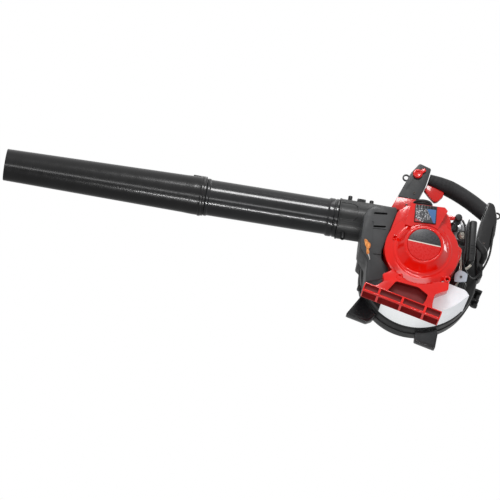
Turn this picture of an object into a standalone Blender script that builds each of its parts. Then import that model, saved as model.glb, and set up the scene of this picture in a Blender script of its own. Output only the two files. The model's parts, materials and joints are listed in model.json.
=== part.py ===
"""Hand-held petrol leaf blower, modelled as separate pieces at real size.

Axes: +Z up, -X towards the nozzle tip, +Y towards the air intake side.
Origin: on the ground, at the middle of the red stand bar's sole, under the crankshaft.
Blender units are metres; MM turns millimetres into metres.
"""
import bpy
import bmesh
from math import atan2, cos, pi, radians, sin, sqrt
from mathutils import Matrix, Vector

MM = 0.001

# ---------------------------------------------------------------- driving dimensions
GAP = 0.4 * MM                    # air gap left between neighbouring pieces
ROUND = 24                        # sides of a large round piece
DISH_ROUND = 36                   # sides of the starter housing
SMALL_ROUND = 12                  # sides of a small round piece

CRANK_Z = 134 * MM                # height of the crankshaft axis, which runs along Y at X = 0
LEAN = radians(15.5)              # forward lean of the cylinder
CYLINDER_Y = 64 * MM              # plane of the cylinder axis
THROW = 14 * MM                   # crank throw, half the 28 mm stroke
ROD_LENGTH = 48 * MM              # centre to centre
BORE_R = 17.4 * MM
SHAFT_R = 6 * MM

CASE_NEAR_Y = 132 * MM            # engine side of the fan case
CASE_FAR_Y = 202 * MM             # intake side of the fan case
CASE_SPLIT_Y = 167 * MM           # seam between the two case halves
CASE_WALL = 3 * MM
SCROLL_START_R = 108 * MM         # scroll radius at the tongue, 180 degrees
SCROLL_GROWTH = 37 * MM / 270     # scroll radius gained per degree of turn
IMPELLER_R = 96 * MM

TUBE_SLOPE = radians(12.9)        # the tube drops towards the nozzle
TUBE_START = Vector((-166 * MM, CASE_SPLIT_Y, 206 * MM))
TUBE_R = 38 * MM
SLEEVE_R = 42.5 * MM
SLEEVE_FROM = -28.7 * MM          # stations along the tube axis, from TUBE_START
SLEEVE_TO = 26.7 * MM
DUCT_FROM = -122 * MM             # the outlet duct starts inside the scroll
DUCT_SQUEEZE = 0.79               # width of the duct there, as a share of its height
COLLAR_TO = 48 * MM
NOZZLE_FROM = 309.5 * MM
NOZZLE_TO = 736.6 * MM
TIP_R = 33.5 * MM

RIM_R = 76.7 * MM                 # starter housing rim
RIM_Y = 5 * MM
BADGE_R = 34 * MM
DISH_FACE_Y = -33 * MM
REEL_R = 26 * MM                  # rope groove radius
ROPE_Y = 12 * MM                  # plane of the rope groove
ROPE_R = 1.8 * MM
ROPE_TILT = radians(10)           # the rope leans back from vertical

COWL_FRONT_Y = 5.4 * MM
COWL_BACK_Y = 100 * MM
FACE_Y = -16 * MM                 # front of the cowl's face
STRIP_Y = -12 * MM                # floor of the strip sunk into that face
STAND_HALF_LENGTH = 83.5 * MM
STAND_HALF_DEPTH = 22 * MM
STAND_HEIGHT = 17 * MM
TANK_NEAR_Y = 35 * MM
TANK_FAR_Y = 131 * MM
TANK_TOP_Z = 101 * MM
FOOT_NEAR_Y = 149 * MM
FOOT_FAR_Y = 168 * MM
HANDLE_Y = 145 * MM               # middle plane of the handle
HANDLE_HALF_WIDTH = 19 * MM
GUARD_PIN = Vector((142 * MM, 206 * MM, 161 * MM))
LUG_LEVEL = 11 * MM               # hinge lugs above and below the guard's barrel
LUG_HALF = 2.5 * MM

CYLINDER_UP = Vector((-sin(LEAN), 0, cos(LEAN)))
CYLINDER_REAR = Vector((cos(LEAN), 0, sin(LEAN)))
CRANK = Vector((0, 0, CRANK_Z))
CYLINDER_FOOT = Vector((0, CYLINDER_Y, CRANK_Z))
TUBE_AXIS = Vector((-cos(TUBE_SLOPE), 0, -sin(TUBE_SLOPE)))
TUBE_UP = Vector((-sin(TUBE_SLOPE), 0, cos(TUBE_SLOPE)))
ROPE_AXIS = Vector((sin(ROPE_TILT), 0, cos(ROPE_TILT)))
ALONG_Y = Vector((0, 1, 0))
UP = Vector((0, 0, 1))


# ---------------------------------------------------------------- materials
def material(name, colour, roughness, metallic=0.0, alpha=1.0):
    """A Principled material in a flat colour."""
    made = bpy.data.materials.new(name)
    made.use_nodes = True
    shader = made.node_tree.nodes["Principled BSDF"]
    shader.inputs["Base Color"].default_value = (*colour, 1.0)
    shader.inputs["Roughness"].default_value = roughness
    shader.inputs["Metallic"].default_value = metallic
    shader.inputs["Alpha"].default_value = alpha
    return made


def make_materials():
    """Every material of the blower, by plain name."""
    return {
        "red": material("red_plastic", (0.72, 0.02, 0.01), 0.25),
        "black": material("black_plastic", (0.02, 0.02, 0.022), 0.45),
        "charcoal": material("charcoal_plastic", (0.035, 0.037, 0.04), 0.35),
        "rubber": material("rubber", (0.025, 0.025, 0.025), 0.75),
        "aluminium": material("cast_aluminium", (0.55, 0.56, 0.57), 0.45, 1.0),
        "steel": material("steel", (0.6, 0.6, 0.62), 0.3, 1.0),
        "dark_steel": material("dark_steel", (0.12, 0.12, 0.12), 0.5, 1.0),
        "tank": material("tank_plastic", (0.86, 0.87, 0.88), 0.35, 0.0, 0.85),
        "orange": material("heat_pad", (0.75, 0.3, 0.08), 0.7),
        "foam": material("foam", (0.3, 0.3, 0.28), 0.95),
        "rope": material("rope", (0.8, 0.8, 0.78), 0.9),
        "clear": material("primer_plastic", (0.8, 0.8, 0.75), 0.2, 0.0, 0.6),
        "badge": material("badge", (0.1, 0.1, 0.11), 0.3),
    }


# ---------------------------------------------------------------- mesh helpers
def mm_points(*points):
    """Outline points given in millimetres, returned in metres."""
    return [(x * MM, z * MM) for x, z in points]


def link(name, bm, finish):
    """Turn a bmesh into a named object, faces pointing out, with its material."""
    bmesh.ops.recalc_face_normals(bm, faces=bm.faces)
    if bm.calc_volume(signed=True) < 0:
        bmesh.ops.reverse_faces(bm, faces=bm.faces)
    mesh = bpy.data.meshes.new(name)
    bm.to_mesh(mesh)
    bm.free()
    made = bpy.data.objects.new(name, mesh)
    bpy.context.scene.collection.objects.link(made)
    if finish is not None:
        mesh.materials.append(finish)
    return made


def shade(made, angle=35):
    """Smooth a round piece but keep its real edges."""
    made.data.shade_smooth()
    made.data.set_sharp_from_angle(angle=radians(angle))
    return made


def bridge(bm, lower, upper):
    """Join two rings of points, either of which may be a single pole."""
    if len(lower) == 1 and len(upper) == 1:
        return
    count = max(len(lower), len(upper))
    for i in range(count):
        j = (i + 1) % count
        if len(lower) == 1:
            bm.faces.new((lower[0], upper[i], upper[j]))
        elif len(upper) == 1:
            bm.faces.new((lower[i], lower[j], upper[0]))
        else:
            bm.faces.new((lower[i], lower[j], upper[j], upper[i]))


def turned(name, profile, base, axis, finish, sides=ROUND):
    """Solid of revolution: profile is (radius, height) along axis from base.

    A profile that starts and ends on the axis is a closed solid; any other is a ring.
    """
    bm = bmesh.new()
    rings = []
    for radius, height in profile:
        if radius < 1e-6:
            rings.append([bm.verts.new((0, 0, height))])
            continue
        turns = [2 * pi * i / sides for i in range(sides)]
        rings.append([bm.verts.new((radius * cos(a), radius * sin(a), height)) for a in turns])
    for lower, upper in zip(rings, rings[1:]):
        bridge(bm, lower, upper)
    if len(rings[0]) > 1 and len(rings[-1]) > 1:
        bridge(bm, rings[-1], rings[0])
    place = Matrix.Translation(base) @ UP.rotation_difference(axis).to_matrix().to_4x4()
    bmesh.ops.transform(bm, matrix=place, verts=bm.verts)
    return shade(link(name, bm, finish))


def rod(name, radius, start, end, finish, sides=SMALL_ROUND):
    """Plain round rod between two points."""
    length = (end - start).length
    profile = [(0, 0), (radius, 0), (radius, length), (0, length)]
    return turned(name, profile, start, (end - start).normalized(), finish, sides)


def plate(name, outline, near, far, finish):
    """Outline in the XZ plane, extruded along Y from near to far."""
    bm = bmesh.new()
    front = [bm.verts.new((x, near, z)) for x, z in outline]
    back = [bm.verts.new((x, far, z)) for x, z in outline]
    bm.faces.new(front)
    bm.faces.new(back)
    bridge(bm, front, back)
    return link(name, bm, finish)


def block(name, low, high, finish, place=None):
    """Box between two corners, optionally carried by a matrix."""
    bm = bmesh.new()
    bmesh.ops.create_cube(bm, size=1.0)
    size = Vector(high) - Vector(low)
    middle = (Vector(high) + Vector(low)) / 2
    fit = Matrix.Translation(middle) @ Matrix.Diagonal((*size, 1.0))
    if place is not None:
        fit = place @ fit
    bmesh.ops.transform(bm, matrix=fit, verts=bm.verts)
    return link(name, bm, finish)


def smooth_path(points, steps=4):
    """Catmull-Rom curve through the given points."""
    knots = [2 * points[0] - points[1], *points, 2 * points[-1] - points[-2]]
    path = []
    for a, b, c, d in zip(knots, knots[1:], knots[2:], knots[3:]):
        for i in range(steps):
            t = i / steps
            bend = 2 * a - 5 * b + 4 * c - d
            twist = 3 * b - a - 3 * c + d
            path.append(0.5 * (2 * b + (c - a) * t + bend * t * t + twist * t ** 3))
    path.append(points[-1])
    return path


def swept(name, path, radii, finish, sides=10, side_scale=1.0):
    """Round section carried along a path; side_scale stretches it along Y."""
    bm = bmesh.new()
    rings = []
    for i, (centre, radius) in enumerate(zip(path, radii)):
        ahead = path[min(i + 1, len(path) - 1)]
        behind = path[max(i - 1, 0)]
        forward = (ahead - behind).normalized()
        across = ALONG_Y if abs(forward.y) < 0.9 else UP
        across = (across - forward * across.dot(forward)).normalized()
        rise = forward.cross(across)
        ring = []
        for k in range(sides):
            turn = 2 * pi * k / sides
            offset = across * cos(turn) * radius * side_scale + rise * sin(turn) * radius
            ring.append(bm.verts.new(centre + offset))
        rings.append(ring)
    for lower, upper in zip(rings, rings[1:]):
        bridge(bm, lower, upper)
    bm.faces.new(rings[0])
    bm.faces.new(rings[-1])
    return shade(link(name, bm, finish), 50)


def combine(target, tool, operation):
    """Boolean of target with tool; the tool stays as a hidden wire guide."""
    tool.hide_render = True
    tool.display_type = "WIRE"
    step = target.modifiers.new(f"{operation.lower()}_{tool.name}", "BOOLEAN")
    step.operation = operation
    step.solver = "EXACT"
    step.object = tool
    return target


def cut(target, *tools):
    """Take each tool's volume away."""
    for tool in tools:
        combine(target, tool, "DIFFERENCE")
    return target


def weld(target, *tools):
    """Add each tool's volume."""
    for tool in tools:
        combine(target, tool, "UNION")
    return target


def soften(target, width, segments=2, angle=40):
    """Round the edges sharper than an angle."""
    bevel = target.modifiers.new("rounded_edges", "BEVEL")
    bevel.width = width
    bevel.segments = segments
    bevel.limit_method = "ANGLE"
    bevel.angle_limit = radians(angle)
    return target


def on_pivot(name, place, *pieces):
    """Parent moving pieces to an empty that stands on their joint axis."""
    pivot = bpy.data.objects.new(name, None)
    pivot.location = place
    bpy.context.scene.collection.objects.link(pivot)
    for piece in pieces:
        piece.parent = pivot
        piece.matrix_parent_inverse = Matrix.Translation(place).inverted()


# ---------------------------------------------------------------- shared places
def along_tube(station, up=0.0):
    """Point on the tube axis at a station, raised square to the axis."""
    return TUBE_START + TUBE_AXIS * station + TUBE_UP * up


def on_cylinder(height, rear=0.0, side=0.0):
    """Point at a height up the cylinder axis, to its rear and to its side."""
    return CYLINDER_FOOT + CYLINDER_UP * height + CYLINDER_REAR * rear + ALONG_Y * side


def around_crank(radius, degrees, y=0.0):
    """Point at a radius and angle about the crankshaft axis."""
    turn = radians(degrees)
    return Vector((radius * cos(turn), y, CRANK_Z + radius * sin(turn)))


def scroll_radius(degrees):
    """Radius of the fan case at an angle counted on from 180 degrees."""
    return SCROLL_START_R + SCROLL_GROWTH * (degrees - 180)


def scroll_outline(inset):
    """Spiral outline of the fan case, closed by a chord behind the outlet duct."""
    outline = []
    steps = 30
    last = 468
    for i in range(steps + 1):
        degrees = 180 + (last - 180) * i / steps
        point = around_crank(scroll_radius(degrees) - inset, degrees)
        outline.append((point.x, point.z))
    return outline


def duct(name, radius, start, end):
    """Outlet duct along the tube axis: round at the mouth, squeezed in width inside the case."""
    full = SLEEVE_FROM
    stations = (start, (start + full) / 2, full, end)
    bm = bmesh.new()
    rings = []
    for station in stations:
        part = min(1.0, max(0.0, (station - start) / (full - start)))
        width = DUCT_SQUEEZE + (1 - DUCT_SQUEEZE) * part
        ring = []
        for k in range(ROUND):
            turn = 2 * pi * k / ROUND
            side = radius * cos(turn) * width
            ring.append(bm.verts.new(along_tube(station, radius * sin(turn)) + ALONG_Y * side))
        rings.append(ring)
    for lower, upper in zip(rings, rings[1:]):
        bridge(bm, lower, upper)
    bm.faces.new(rings[0])
    bm.faces.new(rings[-1])
    return link(name, bm, None)


def cylinder_place():
    """Matrix whose X is to the rear of the cylinder, Y is across and Z is up it."""
    turn = Matrix((CYLINDER_REAR, ALONG_Y, CYLINDER_UP)).transposed().to_4x4()
    return Matrix.Translation(CYLINDER_FOOT) @ turn


# ---------------------------------------------------------------- fan case, tube and nozzle
def fan_case(m):
    """Two case halves, seamed on the fan's middle plane, with the outlet duct and sleeve."""
    clearance = [
        plate("case_clearance", scroll_outline(-GAP), CASE_NEAR_Y - GAP, CASE_FAR_Y + GAP, None),
        duct("duct_clearance", SLEEVE_R + GAP, DUCT_FROM - GAP, SLEEVE_TO),
    ]
    lug_outline = mm_points((-124, 151), (-104, 156), (-100, 104), (-117, 112))
    for name, sign in (("fan_case_inner", -1), ("fan_case_outer", 1)):
        half = soften(plate(name, scroll_outline(0), CASE_NEAR_Y, CASE_FAR_Y, m["black"]), 8 * MM, 2, 60)
        lug = plate(f"{name}_lug", lug_outline, CASE_NEAR_Y + 10 * MM, CASE_FAR_Y - 10 * MM, None)
        weld(half, duct(f"{name}_duct", SLEEVE_R, DUCT_FROM, SLEEVE_TO), lug)
        other_side = sorted((CASE_SPLIT_Y + sign * GAP / 2, CASE_SPLIT_Y - sign * 60 * MM))
        trim = block(f"{name}_seam", (-0.3, other_side[0], -0.1), (0.25, other_side[1], 0.4), None)
        room = plate(f"{name}_room", scroll_outline(CASE_WALL), CASE_NEAR_Y + CASE_WALL,
                     CASE_FAR_Y - CASE_WALL, None)
        soften(room, 3 * MM, 1, 60)
        bore = duct(f"{name}_bore", TUBE_R + GAP, DUCT_FROM + CASE_WALL, SLEEVE_TO + 60 * MM)
        cut(half, trim, room, bore)
    inner, outer = (bpy.data.objects[name] for name in ("fan_case_inner", "fan_case_outer"))
    cut(inner, rod("shaft_opening", 20 * MM, around_crank(0, 0, 0.12), around_crank(0, 0, 0.15), None))
    intake_from, intake_to = around_crank(0, 0, 0.19), around_crank(0, 0, 0.22)
    cut(outer, rod("intake_opening", 62 * MM, intake_from, intake_to, None, ROUND))
    for i, level in enumerate((-LUG_LEVEL, LUG_LEVEL)):
        low = GUARD_PIN + Vector((-20 * MM, -16 * MM, level - LUG_HALF))
        high = GUARD_PIN + Vector((7 * MM, 6 * MM, level + LUG_HALF))
        weld(outer, block(f"guard_lug_{i}", low, high, None))
    cut(outer, rod("guard_pin_hole", 3.4 * MM, GUARD_PIN - UP * 0.04, GUARD_PIN + UP * 0.04, None))
    return clearance


def feet(m, clearance):
    """Two moulded feet under the engine side of the fan case."""
    outlines = {
        "front_foot": mm_points((-100, 0), (-55, 0), (-45, 9), (-38, 32), (-42, 52), (-82, 58)),
        "rear_foot": mm_points((52, 0), (98, 0), (92, 36), (84, 46), (46, 24)),
    }
    pockets = {
        "front_foot": mm_points((-93, 7), (-57, 7), (-48, 14), (-44, 30), (-48, 44), (-80, 50)),
        "rear_foot": mm_points((57, 6), (92, 6), (87, 30), (82, 38), (52, 20)),
    }
    for name, outline in outlines.items():
        foot = plate(name, outline, FOOT_NEAR_Y, FOOT_FAR_Y, m["black"])
        pocket = plate(f"{name}_pocket", pockets[name], FOOT_NEAR_Y + 10 * MM, FOOT_FAR_Y + 10 * MM, None)
        cut(foot, clearance[0], pocket)


def tube_and_nozzle(m):
    """Bayonet tube in the sleeve and the tapered nozzle on the tube."""
    wall = 2 * MM
    collar_r = 40.5 * MM
    bead_r = 39.7 * MM
    front = NOZZLE_FROM + 25 * MM
    tube_profile = [
        (TUBE_R, -16 * MM), (TUBE_R, SLEEVE_TO + GAP), (collar_r, SLEEVE_TO + GAP), (collar_r, COLLAR_TO),
        (TUBE_R, COLLAR_TO + 2 * MM), (TUBE_R, 302 * MM), (bead_r, 303 * MM), (bead_r, 308 * MM),
        (TUBE_R, 309 * MM), (TUBE_R, front), (TUBE_R - wall, front), (TUBE_R - wall, -16 * MM),
    ]
    turned("blower_tube", tube_profile, TUBE_START, TUBE_AXIS, m["charcoal"])
    rear_r = 40.5 * MM
    band_r = 41.8 * MM
    nozzle_profile = [
        (rear_r, NOZZLE_FROM), (rear_r, NOZZLE_FROM + 5 * MM), (band_r, NOZZLE_FROM + 7 * MM),
        (band_r, NOZZLE_FROM + 11 * MM), (rear_r, NOZZLE_FROM + 13 * MM), (rear_r, NOZZLE_FROM + 30 * MM),
        (39.4 * MM, NOZZLE_FROM + 60 * MM), (TIP_R, NOZZLE_TO), (TIP_R - wall, NOZZLE_TO),
        (TUBE_R - wall, NOZZLE_FROM + 60 * MM), (TUBE_R + GAP, NOZZLE_FROM + 28 * MM),
        (TUBE_R + GAP, NOZZLE_FROM),
    ]
    nozzle = turned("nozzle", nozzle_profile, TUBE_START, TUBE_AXIS, m["black"])
    turn = Matrix((TUBE_AXIS, ALONG_Y, TUBE_UP)).transposed().to_4x4()
    place = Matrix.Translation(TUBE_START) @ turn
    tab_low = (NOZZLE_FROM + 1 * MM, -6 * MM, TUBE_R + 1 * MM)
    tab_high = (NOZZLE_FROM + 31 * MM, 6 * MM, TUBE_R + 6 * MM)
    weld(nozzle, block("nozzle_tab", tab_low, tab_high, None, place))
    on_pivot("tube_pivot", along_tube(SLEEVE_TO), bpy.data.objects["blower_tube"])
    on_pivot("nozzle_pivot", along_tube(NOZZLE_FROM), nozzle)


def impeller(m):
    """Back plate, hub and swept blades as one moulding, held by a nut."""
    plate_y = 138 * MM
    blade_far_y = 186 * MM
    hub = [
        (SHAFT_R + GAP, 137 * MM), (18 * MM, 137 * MM), (20 * MM, plate_y), (IMPELLER_R, plate_y),
        (IMPELLER_R, plate_y + 3 * MM), (24 * MM, plate_y + 3 * MM), (14 * MM, 160 * MM),
        (14 * MM, 188 * MM), (SHAFT_R + GAP, 188 * MM),
    ]
    fan = turned("impeller", hub, CRANK, ALONG_Y, m["charcoal"])
    blades = 10
    half_thick = 1.2 * MM
    inner_r = 36 * MM
    outer_r = 94 * MM
    steps = 3
    for i in range(blades):
        line = []
        for k in range(steps + 1):
            part = k / steps
            radius = inner_r + (outer_r - inner_r) * part
            line.append(around_crank(radius, 360 * i / blades - 26 * part * part))
        sides = []
        for k, point in enumerate(line):
            ahead = line[min(k + 1, steps)] - line[max(k - 1, 0)]
            square = Vector((-ahead.z, 0, ahead.x)).normalized() * half_thick
            sides.append((point + square, point - square))
        outline = [(a.x, a.z) for a, _ in sides] + [(b.x, b.z) for _, b in reversed(sides)]
        weld(fan, plate(f"blade_{i}", outline, plate_y + 2 * MM, blade_far_y, None))
    nut_bore = (SHAFT_R + GAP) / cos(pi / 6)
    nut = [(nut_bore, 188.4 * MM), (11 * MM, 188.4 * MM), (11 * MM, 195 * MM), (nut_bore, 195 * MM)]
    made = turned("impeller_nut", nut, CRANK, ALONG_Y, m["steel"], 6)
    made.data.shade_flat()
    return [fan, made]


# ---------------------------------------------------------------- engine core
def crank_train(m):
    """Built-up crankshaft, flywheel and starter cup; the crank pin is a separate piece."""
    web_r = 19.5 * MM
    web_near = CYLINDER_Y - 13.5 * MM
    web_far = CYLINDER_Y + 13.5 * MM
    half_gap = 5.5 * MM
    front = [(0, 22.6 * MM), (SHAFT_R, 22.6 * MM), (SHAFT_R, web_near), (web_r, web_near),
             (web_r, CYLINDER_Y - half_gap), (0, CYLINDER_Y - half_gap)]
    rear = [(0, CYLINDER_Y + half_gap), (web_r, CYLINDER_Y + half_gap), (web_r, web_far),
            (SHAFT_R, web_far), (SHAFT_R, 197 * MM), (0, 197 * MM)]
    pieces = [
        turned("crankshaft_front", front, CRANK, ALONG_Y, m["steel"], 24),
        turned("crankshaft_rear", rear, CRANK, ALONG_Y, m["steel"], 24),
    ]
    bore = SHAFT_R + GAP
    rim = mm_points((16, 99), (16, 104), (49, 106), (49, 122), (43, 122), (43, 112), (16, 110), (16, 124))
    wheel = [(bore, 99 * MM), *rim, (bore, 124 * MM)]
    flywheel = turned("flywheel", wheel, CRANK, ALONG_Y, m["aluminium"])
    cup_wall = mm_points((10, 24), (10, 27), (24.5, 27), (24.5, 20), (28, 20), (28, 30))
    cup = [(bore, 24 * MM), *cup_wall, (bore, 30 * MM)]
    starter_cup = turned("starter_cup", cup, CRANK, ALONG_Y, m["steel"], 24)
    return pieces + [flywheel, starter_cup]


def bearings(m):
    """Main bearings in the crankcase walls."""
    for name, near in (("bearing_front", 36 * MM), ("bearing_rear", 85 * MM)):
        inner, outer, far = SHAFT_R + GAP, 13 * MM, near + 7 * MM
        ring = [(inner, near), (outer, near), (outer, far), (inner, far)]
        turned(name, ring, CRANK, ALONG_Y, m["steel"], 24)


def crankcase(m):
    """Cast crankcase with its cylinder seat and three arms to the fan case."""
    near, far = 34 * MM, 94 * MM
    outer_r, room_r, seat_r = 34 * MM, 27 * MM, 13.4 * MM
    wall = 12 * MM
    section = [(seat_r, near), (outer_r, near), (outer_r, far), (seat_r, far), (seat_r, far - wall),
               (room_r, far - wall), (room_r, near + wall), (seat_r, near + wall)]
    case = turned("crankcase", section, CRANK, ALONG_Y, m["aluminium"])
    mount_r = 58 * MM
    for i, degrees in enumerate((30, 150, 200)):
        out = around_crank(mount_r, degrees)
        start = around_crank(outer_r - 4 * MM, degrees)
        middle = (out + start) / 2
        turn = Matrix.Rotation(-radians(degrees), 4, "Y")
        place = Matrix.Translation(Vector((middle.x, 0, middle.z))) @ turn
        half = (out - start).length / 2
        low, high = (-half, far - 9 * MM, -4 * MM), (half, far - 1 * MM, 4 * MM)
        weld(case, block(f"mount_arm_{i}", low, high, None,
                         place))
        post_start = Vector((out.x, far - 10 * MM, out.z))
        post_end = Vector((out.x, CASE_NEAR_Y - GAP, out.z))
        weld(case, rod(f"mount_post_{i}", 6 * MM, post_start, post_end, None, 12))
    seat = rod("cylinder_seat", 20.8 * MM, on_cylinder(20 * MM), on_cylinder(45 * MM), None, ROUND)
    return cut(case, seat)


def cylinder(m):
    """Finned cylinder with a closed head and a spark plug hole."""
    sleeve_r, fin_r, root_r = 20.3 * MM, 31 * MM, 22 * MM
    plug_r = 5.4 * MM
    foot, flange, top, roof = 31 * MM, 36 * MM, 84 * MM, 77 * MM
    flange_r = 27 * MM
    profile = [(BORE_R, foot), (sleeve_r, foot), (sleeve_r, flange), (flange_r, flange),
               (flange_r, flange + 4 * MM), (root_r, flange + 4 * MM)]
    fins = 6
    pitch = 6.6 * MM
    for i in range(fins):
        low = flange + 7 * MM + pitch * i
        profile += [(root_r, low), (fin_r, low), (fin_r, low + 2 * MM), (root_r, low + 2 * MM)]
    profile += [(root_r, top), (plug_r, top), (plug_r, roof), (BORE_R, roof)]
    return turned("cylinder", profile, CYLINDER_FOOT, CYLINDER_UP, m["aluminium"], 20)


def piston_group(m):
    """Piston at top dead centre with its pin, rod and the crank pin the rod carries."""
    pin_height = THROW + ROD_LENGTH
    crown = pin_height + 12 * MM
    skirt = pin_height - 12 * MM
    outer = 17 * MM
    inner = 13.5 * MM
    profile = [(0, crown), (outer, crown), (outer, skirt), (inner, skirt), (inner, crown - 5 * MM),
               (0, crown - 5 * MM)]
    piston = turned("piston", profile, CYLINDER_FOOT, CYLINDER_UP, m["aluminium"])
    pin_at = on_cylinder(pin_height)
    pin_half = 14.5 * MM
    cut(piston, rod("wrist_pin_hole", 4.4 * MM, pin_at - ALONG_Y * 0.03, pin_at + ALONG_Y * 0.03, None))
    half_pin = ALONG_Y * pin_half
    wrist_pin = rod("wrist_pin", 4 * MM, pin_at - half_pin, pin_at + half_pin, m["steel"])
    big_at = on_cylinder(THROW)
    outline = []
    lean_angle = 90 + LEAN * 180 / pi
    for centre, radius, first in ((big_at, 9 * MM, lean_angle + 90), (pin_at, 6.6 * MM, lean_angle - 90)):
        for i in range(9):
            turn = radians(first + 180 * i / 8)
            outline.append((centre.x + radius * cos(turn), centre.z + radius * sin(turn)))
    half = 3.5 * MM
    rod_piece = plate("conrod", outline, CYLINDER_Y - half, CYLINDER_Y + half, m["steel"])
    cut(rod_piece, rod("small_eye_hole", 4.4 * MM, pin_at - ALONG_Y * 0.03, pin_at + ALONG_Y * 0.03, None))
    cut(rod_piece, rod("big_eye_hole", 5.4 * MM, big_at - ALONG_Y * 0.03, big_at + ALONG_Y * 0.03, None))
    pin_reach = 5.1 * MM
    half_pin = ALONG_Y * pin_reach
    crank_pin = rod("crank_pin", 5 * MM, big_at - half_pin, big_at + half_pin, m["steel"])
    on_pivot("piston_pivot", CYLINDER_FOOT, piston, wrist_pin, rod_piece, crank_pin)


def ignition(m):
    """Coil beside the flywheel, spark plug, rubber boot and lead."""
    coil_turn = radians(55)
    place = Matrix.Translation(CRANK) @ Matrix.Rotation(-coil_turn, 4, "Y")
    low, high = Vector((50, 103, -15)) * MM, Vector((70, 121, 15)) * MM
    soften(block("ignition_coil", low, high, m["black"], place),
           2 * MM)
    plug = mm_points((0, 74.5), (4.9, 74.5), (4.9, 84.4), (9, 84.4), (9, 91), (5, 93), (4, 108), (2.5, 110),
                     (2.5, 116), (0, 116))
    turned("spark_plug", plug, CYLINDER_FOOT, CYLINDER_UP, m["steel"], SMALL_ROUND)
    boot = mm_points((0, 134), (12, 134), (19, 131), (21, 126), (21, 110), (14, 105), (9, 98), (5.6, 98),
                     (5.6, 118), (0, 118))
    turned("plug_boot", boot, CYLINDER_FOOT, CYLINDER_UP, m["rubber"], 24)
    coil_top = CRANK + place.to_3x3() @ Vector((75 * MM, 112 * MM, 0))
    points = [on_cylinder(117 * MM, 0, 21.6 * MM), on_cylinder(113 * MM, 1 * MM, 42 * MM),
              on_cylinder(88 * MM, 20 * MM, 51 * MM), coil_top]
    path = smooth_path(points)
    swept("ignition_lead", path, [3 * MM] * len(path), m["rubber"], 8)


def muffler_group(m, cowl):
    """Muffler box with its stub, plastic cover and orange heat pad."""
    low, high = Vector((-113, 34, 104)) * MM, Vector((-80.6, 92, 172)) * MM
    body = soften(block("muffler", low, high, m["dark_steel"]),
                  4 * MM)
    stub = rod("exhaust_stub", 8 * MM, Vector((-84 * MM, CYLINDER_Y, 160 * MM)),
               Vector((-48 * MM, CYLINDER_Y, 166 * MM)), None)
    weld(body, stub)
    outline = mm_points(
        (-138, 170), (-135, 185), (-125, 198), (-82, 212), (-76.5, 205), (-76.5, 108), (-70, 92),
        (-48, 78), (-57, 50), (-72, 41), (-84, 34), (-90, 54), (-97, 80), (-121, 99), (-127, 122))
    room = mm_points(
        (-134.8, 170), (-132, 183.5), (-123.5, 195), (-83, 208.5), (-79.5, 204), (-79.5, 107),
        (-72.5, 89.5), (-51.5, 77), (-59.5, 52.5), (-73.5, 44), (-82, 38.5), (-87, 55),
        (-94.5, 81.5), (-118, 100.5), (-124, 123))
    cover = plate("muffler_cover", outline, 22 * MM, 95 * MM, m["charcoal"])
    cut(cover, plate("cover_room", room, 25 * MM, 99 * MM, None))
    stub_room = rod("stub_opening", 10 * MM, Vector((-85 * MM, CYLINDER_Y, 160 * MM)),
                    Vector((-60 * MM, CYLINDER_Y, 164 * MM)), None)
    cut(cover, stub_room)
    cut(cowl, stub_room)
    drop = 8
    for i, (left, right, level) in enumerate(((-119, -94, 193), (-111, -88, 165))):
        slot = mm_points((left, level - drop), (right, level), (right, level - 4), (left, level - drop - 4))
        cut(cover, plate(f"louvre_{i}", slot, 15 * MM, 30 * MM, None))
    pad = mm_points((-120, 120), (-112, 120), (-101, 112), (-98, 92), (-105, 92), (-112, 106))
    plate("heat_shield", pad, 19.6 * MM, 21.6 * MM, m["orange"])


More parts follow.
